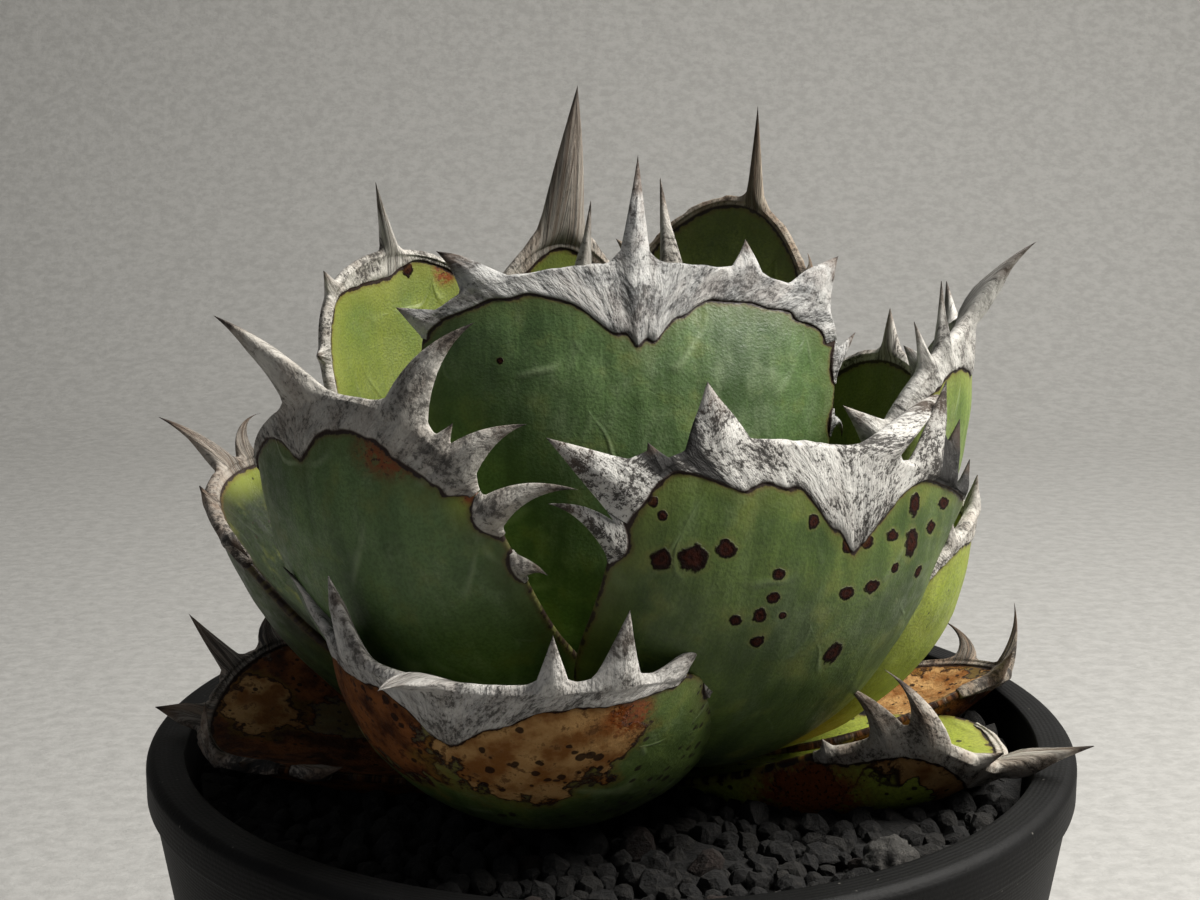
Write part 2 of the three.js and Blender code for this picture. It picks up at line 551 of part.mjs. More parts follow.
// The horn of a leaf: a band with five points to each cross-section, swept along the margin, with
// teeth and the end spine drawn out of its edge.
function hornSolid(leaf) {
  const sides = 5;
  const [lo, hi] = leaf.hornEnds;
  const knots = leaf.knots.filter((k) => k >= lo && k <= hi);
  const sigmas = leaf.stations(lo, hi, LEAF.hornStep * leaf.detail.step, leaf.marksOf(leaf.spurs));
  const points = sigmas.flatMap((sigma) => {
    const { flat, lifted, climb, onSpine } = leaf.edgeAt(sigma);
    const from = leaf.marginAt(sigma);
    const foot = onSpine
      ? mix(leaf.edge, LEAF.spineHalf, Math.min(1, climb / LEAF.spineFoot))
      : Math.max(leaf.edge, LEAF.toothHalf * Math.min(1, climb / LEAF.spineFoot));
    const half = mix(foot, LEAF.toothTip, climb);
    return [
      leaf.place(flat.x, flat.y, lifted + half),
      leaf.place(from.x, from.y, leaf.edge + LEAF.hornProud),
      leaf.onInnerLine(sigma, knots, 1),
      leaf.onInnerLine(sigma, knots, -1),
      leaf.place(flat.x, flat.y, lifted - half),
    ];
  });
  const last = points.length - sides;
  const triangles = [];
  for (let i = 0; i < last; i += sides) triangles.push(...strip(i, i + sides, sides));
  for (let k = 1; k + 1 < sides; k++)
    triangles.push([0, k + 1, k], [last, last + k, last + k + 1]);
  return solidFrom(points, triangles);
}

// A closed body turned from [radius, height] points that start and end on the axis.
function turned(profile, segments) {
  const points = profile.map(([r, z]) => new THREE.Vector2(r, z));
  const body = solidOf(new THREE.LatheGeometry(points, segments).rotateX(Math.PI / 2));
  return body.volume() > 0 ? body : turned([...profile].reverse(), segments);
}

function potInnerRadius(z) {
  return POT.rimRadius - POT.rimWidth - (POT.height - z) * Math.tan(POT.taper);
}

function potSolid() {
  const { rimRadius: rim, height: top, rimRound, bandHeight, bandStep, footRound, rimWidth } = POT;
  const sideTop = top - bandHeight;
  const sideRadius = rim - bandStep;
  const footRadius = sideRadius - sideTop * Math.tan(POT.taper);
  const corner = (1 - Math.SQRT1_2) * rimRound;
  let pot = turned([
    [0, 0],
    [footRadius - footRound, 0],
    [footRadius, footRound],
    [sideRadius, sideTop],
    [rim, sideTop + bandStep],
    [rim, top - rimRound],
    [rim - corner, top - corner],
    [rim - rimRound, top],
    [rim - rimWidth, top],
    [potInnerRadius(POT.floor), POT.floor],
    [0, POT.floor],
  ], POT.segments);
  for (let i = 0; i < POT.holes; i++) {
    const turn = ((i + 0.5) / POT.holes) * 2 * Math.PI;
    const { holeRadius: radius, holeCircle: circle, holeSegments } = POT;
    const drill = new THREE.CylinderGeometry(radius, radius, 3 * POT.floor, holeSegments)
      .rotateX(Math.PI / 2)
      .translate(circle * Math.cos(turn), circle * Math.sin(turn), 0);
    pot = pot.subtract(solidOf(drill));
  }
  return pot;
}

// A run of numbers from 0 to 1 that is the same for every build.
function seeded(seed) {
  let state = seed;
  return () => {
    state = (state * 1664525 + 1013904223) % 4294967296;
    return state / 4294967296;
  };
}

// The grit fills the pot. Its top is relief on rings of points round the hole that the stem stands
// in, with one larger pebble.
function soilSolid() {
  const draw = seeded(SOIL.seed);
  const { rings, sectors, top, relief, pebble } = SOIL;
  const holeRadius = STEM.profile[0][0] + GAP;
  const holeFloor = STEM.foot - GAP;
  const outer = potInnerRadius(top) - SOIL.inset;
  const floor = POT.floor + GAP;
  const points = [];
  const ring = (radius, heightAt) => {
    for (let i = 0; i < sectors; i++) {
      const turn = (i / sectors) * 2 * Math.PI;
      const x = radius * Math.cos(turn);
      const y = radius * Math.sin(turn);
      points.push(new THREE.Vector3(x, y, heightAt(x, y)));
    }
  };
  const gritAt = (x, y) => {
    const near = Math.max(0, 1 - Math.hypot(x - pebble.x, y - pebble.y) / pebble.radius);
    return top + relief * draw() + pebble.height * Math.sqrt(near);
  };
  ring(holeRadius, () => holeFloor);
  for (let k = 0; k < rings; k++) ring(mix(holeRadius, outer, k / (rings - 1)), gritAt);
  ring(potInnerRadius(floor) - SOIL.inset, () => floor);
  const hub = points.length;
  const last = hub - sectors;
  points.push(new THREE.Vector3(0, 0, holeFloor), new THREE.Vector3(0, 0, floor));
  const triangles = [];
  for (let k = 0; k < last; k += sectors) triangles.push(...strip(k, k + sectors, sectors));
  for (let i = 0; i < sectors; i++) {
    const j = (i + 1) % sectors;
    triangles.push([hub, j, i], [hub + 1, last + i, last + j]);
  }
  return solidFrom(points, triangles);
}

function stemSolid() {
  const foot = [STEM.profile[0][0], STEM.foot];
  return turned([[0, STEM.foot], foot, ...STEM.profile, [0, STEM.crown]], STEM.segments);
}

// Each leaf's green part gives way to its horn, each leaf to the leaves inside it, and the stem and
// the grit to all of them.
function buildBodies() {
  const bodies = [];
  const cutters = [];
  LEAVES.forEach((spec, i) => {
    const leaf = new Leaf(spec);
    const label = "leaf_" + String(i + 1).padStart(2, "0");
    const horn = hornSolid(leaf);
    const blade = bladeSolid(leaf);
    const hornRoom = swollen(horn, GAP);
    const clear = (body) => mainBody(cutters.reduce((rest, cutter) => rest.subtract(cutter), body));
    const old = i >= LEAVES.length - OLD_LEAVES;
    const flesh = old ? FINISH.oldBlade : FINISH.blade;
    bodies.push({ name: label + "_blade", body: clear(blade.subtract(hornRoom)), finish: flesh });
    bodies.push({ name: label + "_horn", body: clear(horn), finish: FINISH.horn });
    cutters.push(swollen(blade, GAP), hornRoom);
  });
  const clear = (body) => mainBody(cutters.reduce((rest, cutter) => rest.subtract(cutter), body));
  bodies.push({ name: "stem", body: clear(stemSolid()), finish: FINISH.stem });
  bodies.push({ name: "soil", body: clear(soilSolid()), finish: FINISH.soil });
  bodies.push({ name: "pot", body: potSolid(), finish: FINISH.pot });
  return bodies;
}

const group = new THREE.Group();
for (const { name, body, finish } of buildBodies()) {
  const geometry = geometryOf(body);
  geometry.computeVertexNormals();
  const mesh = new THREE.Mesh(geometry, new THREE.MeshStandardMaterial({ ...finish, flatShading: true }));
  mesh.name = name;
  group.add(mesh);
}

export default group;
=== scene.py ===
"""The looks of a potted agave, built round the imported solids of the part.

Everything is in metres in the frame of the part: +Z up, the centre of the pot's underside at the
origin and the front of the plant facing -Y. Sizes of the object are given in millimetres and turned
to metres where a mesh is made.
"""

import logging
import math
from dataclasses import dataclass, field, replace
from enum import Enum

import bmesh
import bpy
import numpy as np
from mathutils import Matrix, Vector, noise


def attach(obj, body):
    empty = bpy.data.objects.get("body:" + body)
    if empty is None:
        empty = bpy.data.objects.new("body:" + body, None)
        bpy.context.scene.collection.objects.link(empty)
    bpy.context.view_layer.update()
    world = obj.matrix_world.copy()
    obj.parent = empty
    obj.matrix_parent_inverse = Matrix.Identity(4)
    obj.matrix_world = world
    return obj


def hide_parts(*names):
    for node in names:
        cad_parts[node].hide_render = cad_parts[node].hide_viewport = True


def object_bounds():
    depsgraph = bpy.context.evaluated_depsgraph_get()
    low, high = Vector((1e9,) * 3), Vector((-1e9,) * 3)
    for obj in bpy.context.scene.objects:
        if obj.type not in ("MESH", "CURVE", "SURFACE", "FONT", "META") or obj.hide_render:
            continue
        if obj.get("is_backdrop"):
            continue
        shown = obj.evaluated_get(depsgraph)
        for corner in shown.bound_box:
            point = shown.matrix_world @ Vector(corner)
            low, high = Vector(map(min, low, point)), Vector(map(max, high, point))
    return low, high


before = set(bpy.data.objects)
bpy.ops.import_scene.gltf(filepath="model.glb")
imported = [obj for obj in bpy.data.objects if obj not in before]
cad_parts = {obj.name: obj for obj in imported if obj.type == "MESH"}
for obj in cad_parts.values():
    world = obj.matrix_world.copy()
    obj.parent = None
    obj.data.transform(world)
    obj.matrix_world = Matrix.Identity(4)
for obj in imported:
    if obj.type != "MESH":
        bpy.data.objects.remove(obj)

MM = 0.001
ROOT_BODY = "root"
NOTHING = 1e-8  # an edge shorter than this, in metres, is none
log = logging.getLogger("agave")

Array = np.ndarray
Number = float | np.ndarray
Colour = tuple[float, float, float, float]
Place = tuple[float, float, float]


def mix(a: Number, b: Number, t: Number) -> Number:
    """Goes from a to b as t goes from 0 to 1."""
    return a + (b - a) * t


def ease(x: Number) -> Number:
    """Smooth step of x, held to 0 below 0 and to 1 above 1."""
    x = np.clip(x, 0.0, 1.0)
    return x * x * (3 - 2 * x)


def linear(colour: str) -> Colour:
    """Turns an sRGB hex colour to the linear values that a shader takes.

    Args:
        colour: six hex digits.

    Returns:
        Red, green, blue and an alpha of 1.
    """
    parts = [int(colour[i : i + 2], 16) / 255 for i in (0, 2, 4)]
    red, green, blue = (p / 12.92 if p <= 0.04045 else ((p + 0.055) / 1.055) ** 2.4 for p in parts)
    return red, green, blue, 1.0


# --- Meshes ---------------------------------------------------------------------------------------


@dataclass
class Surface:
    """Points and faces of one piece as they are gathered, with values kept for its points."""

    points: list[Array] = field(default_factory=list)
    faces: list[Array] = field(default_factory=list)
    values: dict[str, list[Array]] = field(default_factory=dict)
    count: int = 0

    def add_grid(self, points: Array, closed: tuple[bool, bool], **values: Array) -> Array:
        """Adds a grid of points joined by four-sided faces.

        Args:
            points: rows by columns by 3, in millimetres.
            closed: whether the last row joins the first, and the last column the first.
            values: rows by columns (by 3 for a vector) for each named value.

        Returns:
            The indices of the points, rows by columns.
        """
        rows, columns = points.shape[:2]
        index = np.arange(rows * columns).reshape(rows, columns) + self.count
        self.points.append(points.reshape(-1, 3))
        self.count += rows * columns
        for name, value in values.items():
            self.values.setdefault(name, []).append(value.reshape(rows * columns, -1))
        down = np.roll(index, -1, 0) if closed[0] else index[1:]
        here = index if closed[0] else index[:-1]
        here_next, down_next = np.roll(here, -1, 1), np.roll(down, -1, 1)
        quads = np.stack([here, here_next, down_next, down], -1)
        self.faces.append((quads if closed[1] else quads[:, :-1]).reshape(-1, 4))
        return index

    def make(self, name: str, smooth: bool = True, weld: float = 0.0) -> bpy.types.Object:
        """Makes the object, with its faces turned outwards.

        Args:
            name: the piece's name.
            smooth: whether its faces are shaded smooth.
            weld: distance in millimetres under which points become one.

        Returns:
            The object, linked to the scene.
        """
        mesh = bpy.data.meshes.new(name)
        points = np.concatenate(self.points) * MM
        mesh.from_pydata(points.tolist(), [], [f for part in self.faces for f in part.tolist()])
        for key, parts in self.values.items():
            data = np.concatenate(parts)
            kind = "FLOAT_VECTOR" if data.shape[1] == 3 else "FLOAT"
            slot = "vector" if data.shape[1] == 3 else "value"
            kept = mesh.attributes.new(key, kind, "POINT")
            kept.data.foreach_set(slot, data.astype(np.float32).ravel())
        work = bmesh.new()
        work.from_mesh(mesh)
        if weld:
            bmesh.ops.remove_doubles(work, verts=work.verts, dist=weld * MM)
            bmesh.ops.dissolve_degenerate(work, edges=work.edges, dist=NOTHING)
        bmesh.ops.recalc_face_normals(work, faces=work.faces)
        if work.calc_volume(signed=True) < 0:
            bmesh.ops.reverse_faces(work, faces=work.faces)
        work.to_mesh(mesh)
        work.free()
        mesh.polygons.foreach_set("use_smooth", [smooth] * len(mesh.polygons))
        piece = bpy.data.objects.new(name, mesh)
        bpy.context.scene.collection.objects.link(piece)
        return piece


def dress(piece: bpy.types.Object, look: bpy.types.Material) -> None:
    """Gives a piece one material in place of what it had."""
    piece.data.materials.clear()
    piece.data.materials.append(look)


def settle(piece: bpy.types.Object, nodes: tuple[str, ...], slot: str,
           look: bpy.types.Material) -> None:
    """Gives a finished piece its body, the nodes that it stands for and its material.

    Args:
        piece: the piece, in place.
        nodes: CAD nodes that it replaces.
        slot: not used.
        look: its material.
    """
    dress(piece, look)
    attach(piece, ROOT_BODY)
    if nodes:
        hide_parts(*nodes)
    log.info("%s: %d faces", piece.name, len(piece.data.polygons))


# --- Materials ------------------------------------------------------------------------------------

Kind = tuple[str, dict]  # a node's type, with settings and inputs that it always has here
# A socket to link from, or what to set: a number, a vector or an sRGB hex colour.
Value = bpy.types.NodeSocket | float | tuple[float, ...] | str

BLEND: Kind = ("Mix", {"data_type": "RGBA"})
FADE: Kind = ("Mix", {})
RAMP: Kind = ("MapRange", {"interpolation_type": "SMOOTHSTEP"})
KEPT: Kind = ("Attribute", {"attribute_type": "GEOMETRY"})
NOISE: Kind = ("TexNoise", {"Scale": 1.0})
CELLS: Kind = ("TexVoronoi", {})
STRETCH: Kind = ("Mapping", {})
PLACE: Kind = ("TexCoord", {})
SPLIT: Kind = ("SeparateXYZ", {})
BUMP: Kind = ("Bump", {"Strength": 1.0})
SHADER: Kind = ("BsdfPrincipled", {})
OUTPUT: Kind = ("OutputMaterial", {})
MOVE, AWAY, SHARES, LENGTH, SCALE = (
    ("VectorMath", {"operation": name})
    for name in ("ADD", "SUBTRACT", "MULTIPLY", "LENGTH", "SCALE")
)
OPERATIONS = ("ADD", "SUBTRACT", "MULTIPLY", "DIVIDE", "POWER", "SINE", "SQRT", "ABSOLUTE", "MINIMUM",
              "MAXIMUM", "PINGPONG")
ADD, SUBTRACT, MULTIPLY, DIVIDE, POWER, SINE, SQRT, ABSOLUTE, MINIMUM, MAXIMUM, PINGPONG = (
    ("Math", {"operation": name}) for name in OPERATIONS
)


class Look:
    """One material and its node tree."""

    def __init__(self, name: str) -> None:
        """Makes the material with an empty tree.

        Args:
            name: the material's name.
        """
        self.material = bpy.data.materials.new(name)
        self.material.use_nodes = True
        self.tree = self.material.node_tree
        self.tree.nodes.clear()

    def add(self, kind: Kind, *values: Value, out: str = "",
            **named: Value) -> bpy.types.NodeSocket | None:
        """Adds a node with its settings and links.

        Args:
            kind: the node's type and usual settings.
            values: what its inputs take, in their order.
            out: name of the output that is wanted, or nothing for the first.
            named: settings, and inputs by their names, which start with a capital and have _ for a
                space.

        Returns:
            The output's socket, or nothing where the node has none.
        """
        node = self.tree.nodes.new("ShaderNode" + kind[0])
        inputs = {**kind[1], **named}
        for key in [k for k in inputs if k[0].islower()]:
            setattr(node, key, inputs.pop(key))
        wanted = list(zip((s for s in node.inputs if s.enabled), values))
        wanted += [(node.inputs[key.replace("_", " ")], value) for key, value in inputs.items()]
        for socket, value in wanted:
            if isinstance(value, bpy.types.NodeSocket):
                self.tree.links.new(value, socket)
            else:
                socket.default_value = linear(value) if isinstance(value, str) else value
        return node.outputs[out] if out else next((s for s in node.outputs if s.enabled), None)

    def grain(self, where: Value, period: float, detail: float = 3.0, rough: float = 0.55,
              stretch: Place = (1, 1, 1)) -> bpy.types.NodeSocket:
        """Cloudy pattern from 0 to 1 of a real size.

        Args:
            where: coordinates in millimetres.
            period: size of its features in millimetres.
            detail: octaves of finer noise.
            rough: how strong those are.
            stretch: how much longer the features are along each coordinate.

        Returns:
            The pattern's socket.
        """
        moved = self.add(STRETCH, where, Scale=tuple(1 / (period * s) for s in stretch))
        return self.add(NOISE, moved, Detail=detail, Roughness=rough)

    def tint(self, colour: Value, shade: Value, value: Value, start: float, end: float,
             most: float = 1.0) -> bpy.types.NodeSocket:
        """Lays a second colour over one where a value has gone from start to end.

        Args:
            colour: the colour so far.
            shade: the second colour.
            value: what decides where it lies.
            start: where that begins to show it.
            end: where it shows it most.
            most: how much that is.

        Returns:
            The colour's socket.
        """
        return self.add(BLEND, self.add(RAMP, value, start, end, 0.0, most), colour, shade)

    def finish(self, **inputs: Value) -> bpy.types.Material:
        """Ends the tree in a Principled shader with these inputs, and returns the material."""
        self.add(OUTPUT, self.add(SHADER, **inputs))
        return self.material


OTHER_FACE = 10.0  # keeps a mark of one face away from the other


class Tone(Enum):
    """Colours of a leaf's skin, as sRGB hex: outer face, its deeper parts, inner face and margin."""

    GLAUCOUS = ("617b49", "3a5129", "78853c", "565f30")
    GREEN = ("5c7034", "36491d", "6f7c30", "646b2e")
    FRESH = ("84994a", "52692a", "7b8534", "8a8c42")
    # PAINTED_SHADE is a green darkened as painted shade, most of all on the inner face, for a leaf that
    # lies in the shadow of its neighbour.
    PAINTED_SHADE = ("4c6132", "1e2c12", "12170a", "3c3a1c")
    # LIME_PAINTED_LIGHT is a yellow-green whose extra lightness is painted light, for leaves that face
    # away from the lamps.
    LIME_PAINTED_LIGHT = ("a4b140", "7b8c2c", "8f9634", "8a8c42")
    AGED = ("6a5a30", "3c2f17", "6b5425", "5a3d1c")


class Blemish(Enum):
    """Kinds of marks on a leaf."""

    SCAR = "round dark scar with a brown halo"
    TAN = "dead tan patch with a dark, wandering edge"
    BROWN = "reddish brown, mottled dead patch"
    ALIVE = "island of living skin in a dead patch"
    RUST = "rusty speckles"
    GLOW = "yellowish skin"


@dataclass(frozen=True)
class Mark:
    """A blemish on a leaf, as an oval in the leaf's flat coordinates in millimetres."""

    kind: Blemish
    across: float
    along: float
    wide: float
    high: float
    inner: bool = False


@dataclass(frozen=True)
class WaxyLeafSkin:
    """Thick living leaf skin, grown, with a thin wax bloom.

    The bloom scatters light, so the green looks greyish and the shine is broad and soft.
    """

    tone: Tone
    marks: tuple[Mark, ...] = ()
    freckles: float = 0.0
    wax: float = 1.0
    seed: int = 0

    def build(self, name: str) -> bpy.types.Material:
        """Makes the material.

        Args:
            name: the material's name.

        Returns:
            The material.
        """
        look = Look(name)
        add, grain = look.add, look.grain
        flat = add(KEPT, attribute_name="flat", out="Vector")
        where = add(MOVE, flat, (17.0 * self.seed, 31.0 * self.seed, 5.0 * self.seed))
        outer, deep, inner, rim = self.tone.value
        face = add(RAMP, add(KEPT, attribute_name="face", out="Fac"), -0.5, 0.5)
        # The wax is thinner in clouds of 10 mm and in streaks 2 to 3 mm wide that run along the leaf.
        clouds = add(RAMP, grain(where, 10.0), 0.36, 0.66)
        streaks = add(RAMP, grain(where, 2.6, stretch=(1, 9, 1)), 0.36, 0.66)
        bloom = add(ADD, add(MULTIPLY, clouds, 0.6), add(MULTIPLY, streaks, 0.4))
        inside = add(BLEND, add(MULTIPLY, bloom, 0.7), inner, deep)
        colour = add(BLEND, face, inside, add(BLEND, bloom, deep, outer))
        # Rubbed wax shows as greyish smears, more so on the outer face.
        rubbed = grain(where, 4.0, detail=6.0, rough=0.7, stretch=(1, 2, 1))
        wax = add(MULTIPLY, add(ADD, add(MULTIPLY, face, 0.7), 0.3), self.wax)
        smears = add(MULTIPLY, add(RAMP, rubbed, 0.48, 0.72, 0.0, 0.38), wax)
        colour = add(BLEND, smears, colour, "8d9c78")
        # The skin's cells, a tenth of a millimetre across, are drawn coarser so that they show.
        stipple = grain(where, 0.34, detail=2.0, rough=0.6)
        colour = look.tint(colour, "2c3a1a", stipple, 0.38, 0.66, 0.36)
        colour = look.tint(colour, "7b7a35", grain(where, 5.0, detail=4.0), 0.52, 0.72, 0.3)
        edge = add(KEPT, attribute_name="edge", out="Fac")
        colour = look.tint(colour, rim, edge, 4.5, 0.4, 0.4)
        colour, pressed = self.imprints(look, flat, colour, wax)
        colour, dry = self.blemishes(look, flat, colour, where, face)
        # The living skin meets the dead horn in a dark corky line about 0.3 mm wide.
        waver = add(RAMP, grain(where, 1.2), 0.3, 0.7, -0.2, 0.16)
        wavy = add(ADD, edge, waver)
        colour = look.tint(colour, "5c3d1e", wavy, 0.95, 0.3, 0.45)
        colour = look.tint(colour, "24140c", wavy, 0.4, 0.2)
        gloss = add(RAMP, grain(where, 1.3, detail=4.0), 0.3, 0.7, 0.44, 0.62)
        rough = add(ADD, gloss, add(MULTIPLY, dry, 0.25))
        swell = grain(where, 6.0, detail=2.0, stretch=(1, 1.8, 1))
        relief = add(BUMP, Height=swell, Distance=0.5 * MM)
        relief = add(BUMP, Height=pressed, Distance=0.12 * MM, Normal=relief)
        cells = add(ADD, stipple, add(MULTIPLY, streaks, 0.5))
        relief = add(BUMP, Height=cells, Distance=0.07 * MM, Normal=relief)
        crust = add(MULTIPLY, dry, grain(where, 1.1, detail=6.0, rough=0.65))
        relief = add(BUMP, Height=crust, Distance=0.5 * MM, Normal=relief)
        # Dead patches have lost their wax and most of their shine.
        shine = add(RAMP, dry, 0.0, 1.0, 0.5, 0.15) if dry else 0.5
        return look.finish(Base_Color=colour, Roughness=rough, IOR=1.42, Normal=relief,
                           Specular_IOR_Level=shine)

    def imprints(self, look: Look, flat: Value, colour: Value, wax: Value) -> tuple[Value, Value]:
        """Adds the pale outlines that the toothed leaf outside pressed in as the two lay in the bud.

        Args:
            look: the material.
            flat: the leaf's flat coordinates in millimetres.
            colour: the colour so far.
            wax: how waxy the skin is.

        Returns:
            The colour, and a value that is 1 along the outlines.
        """
        add, grain = look.add, look.grain
        u, v, _ = add(SPLIT, flat).node.outputs
        wander = add(MULTIPLY, grain(flat, 14.0, detail=1.0), 22.0)
        beat = add(PINGPONG, add(ADD, u, add(MULTIPLY, wander, 0.6)), 7.0)
        peak = add(POWER, add(SUBTRACT, 1.0, add(DIVIDE, beat, 7.0)), 3.0)
        line = add(ADD, add(ADD, v, wander), add(MULTIPLY, peak, -7.0))
        ripple = add(PINGPONG, add(ADD, line, 5.0 * self.seed), 6.5)
        patchy = add(RAMP, grain(flat, 9.0, detail=2.0), 0.46, 0.62)
        mask = add(MULTIPLY, add(RAMP, ripple, 1.3, 0.0), patchy)
        shown = add(MULTIPLY, add(MULTIPLY, mask, 0.3), wax)
        return add(BLEND, shown, colour, "9fae88"), mask

    def blemishes(self, look: Look, flat: Value, colour: Value, where: Value,
                  face: Value) -> tuple[Value, Value]:
        """Adds the marks and the freckles.

        Args:
            look: the material.
            flat: the leaf's flat coordinates in millimetres.
            colour: the colour so far.
            where: the same coordinates, shifted so that every leaf differs.
            face: 1 on the outer face and 0 on the inner one.

        Returns:
            The colour, and a value that is 1 where the skin is dry.
        """
        add, grain = look.add, look.grain
        dry: Value = 0.0
        wander = add(RAMP, grain(where, 4.5, detail=6.0, rough=0.6), 0.28, 0.72, -1.0, 1.0)
        if glow := self.distance(look, flat, Blemish.GLOW, face):
            colour = look.tint(colour, "8a9436", glow, 0.9, -0.8, 0.6)
        living = colour
        for kind, pale, dark, speckle in (
            (Blemish.BROWN, "7d4b26", "3a1e0e", "24120a"),
            (Blemish.TAN, "b08a58", "7a4f26", "4a2a14"),
        ):
            if not (away := self.distance(look, flat, kind, face)):
                continue
            # The dead tissue ends in a wandering line, darker than what is inside it.
            away = add(ADD, away, add(MULTIPLY, wander, 0.34))
            worn = add(RAMP, grain(where, 3.0, detail=5.0), 0.36, 0.64)
            blotch = grain(where, 1.5, detail=6.0, rough=0.7)
            blotch = add(RAMP, blotch, 0.54, 0.64, 0.0, 0.75)
            dead = add(BLEND, blotch, add(BLEND, worn, dark, pale), speckle)
            colour = look.tint(colour, "6f5a22", away, 0.4, 0.02, 0.55)
            mask = add(RAMP, away, 0.04, -0.04)
            line = add(RAMP, add(ABSOLUTE, away), 0.1, 0.02, 0.0, 0.9)
            colour = add(BLEND, line, add(BLEND, mask, colour, dead), "26120a")
            dry = add(MAXIMUM, dry, mask)
        if island := self.distance(look, flat, Blemish.ALIVE, face):
            island = add(ADD, island, add(MULTIPLY, wander, 0.4))
            mask = add(RAMP, island, 0.04, -0.04)
            line = add(RAMP, add(ABSOLUTE, island), 0.12, 0.02, 0.0, 0.9)
            colour = add(BLEND, line, add(BLEND, mask, colour, living), "26120a")
            dry = add(MULTIPLY, dry, add(SUBTRACT, 1.0, mask))
        if self.freckles:
            # Dark specks of 0.3 to 0.8 mm, in swarms.
            size = add(RAMP, grain(where, 4.0), 0.36, 0.66, 0.03, 0.3 * self.freckles)
            dots = add(SUBTRACT, add(CELLS, where, 0.6), size)
            freckle = add(MULTIPLY, add(RAMP, dots, 0.03, -0.04), 0.9)
            colour = add(BLEND, freckle, colour, "1f120c")
        if rust := self.distance(look, flat, Blemish.RUST, face):
            near = add(RAMP, rust, 0.35, -0.6)
            grainy = add(RAMP, grain(where, 0.8, detail=5.0, rough=0.7), 0.36, 0.56)
            some = add(MULTIPLY, near, add(ADD, grainy, add(MULTIPLY, near, 0.35)))
            specks = add(RAMP, grain(where, 0.5, detail=3.0), 0.56, 0.64)
            colour = add(BLEND, some, colour, "7a4018")
            colour = add(BLEND, add(MULTIPLY, specks, near), colour, "2a1209")
        if scar := self.distance(look, flat, Blemish.SCAR, face):
            ragged = add(RAMP, grain(where, 0.9, detail=4.0), 0.3, 0.7, -0.2, 0.2)
            near = add(ADD, scar, ragged)
            crater = add(RAMP, near, 0.3, 0.05)
            colour = look.tint(colour, "6d6a34", near, 0.9, 0.3, 0.3)
            colour = add(BLEND, crater, colour, "180a06")
            colour = look.tint(colour, "3a160a", near, -0.1, -0.5, 0.7)
            colour = look.tint(colour, "150705", near, -0.5, -0.9, 0.7)
            dry = add(MAXIMUM, dry, crater)
        return colour, dry

    def distance(self, look: Look, flat: Value, kind: Blemish, face: Value) -> Value | None:
        """Least distance to the marks of one kind, 0 at their edges, in shares of their half width.

        Args:
            look: the material.
            flat: the leaf's flat coordinates in millimetres.
            kind: the kind of mark.
            face: 1 on the outer face and 0 on the inner one.

        Returns:
            The distance, or nothing where the leaf has no such mark.
        """
        add = look.add
        least = None
        for mark in self.marks:
            if mark.kind is not kind:
                continue
            away = add(AWAY, flat, (mark.across, mark.along, 0.0))
            length = add(LENGTH, add(SHARES, away, (1 / mark.wide, 1 / mark.high, 0.0)))
            ends = (0.0, OTHER_FACE) if mark.inner else (OTHER_FACE, 0.0)
            length = add(ADD, length, add(RAMP, face, 0.0, 1.0, *ends))
            least = length if least is None else add(MINIMUM, least, length)
        return None if least is None else add(SUBTRACT, least, 1.0)


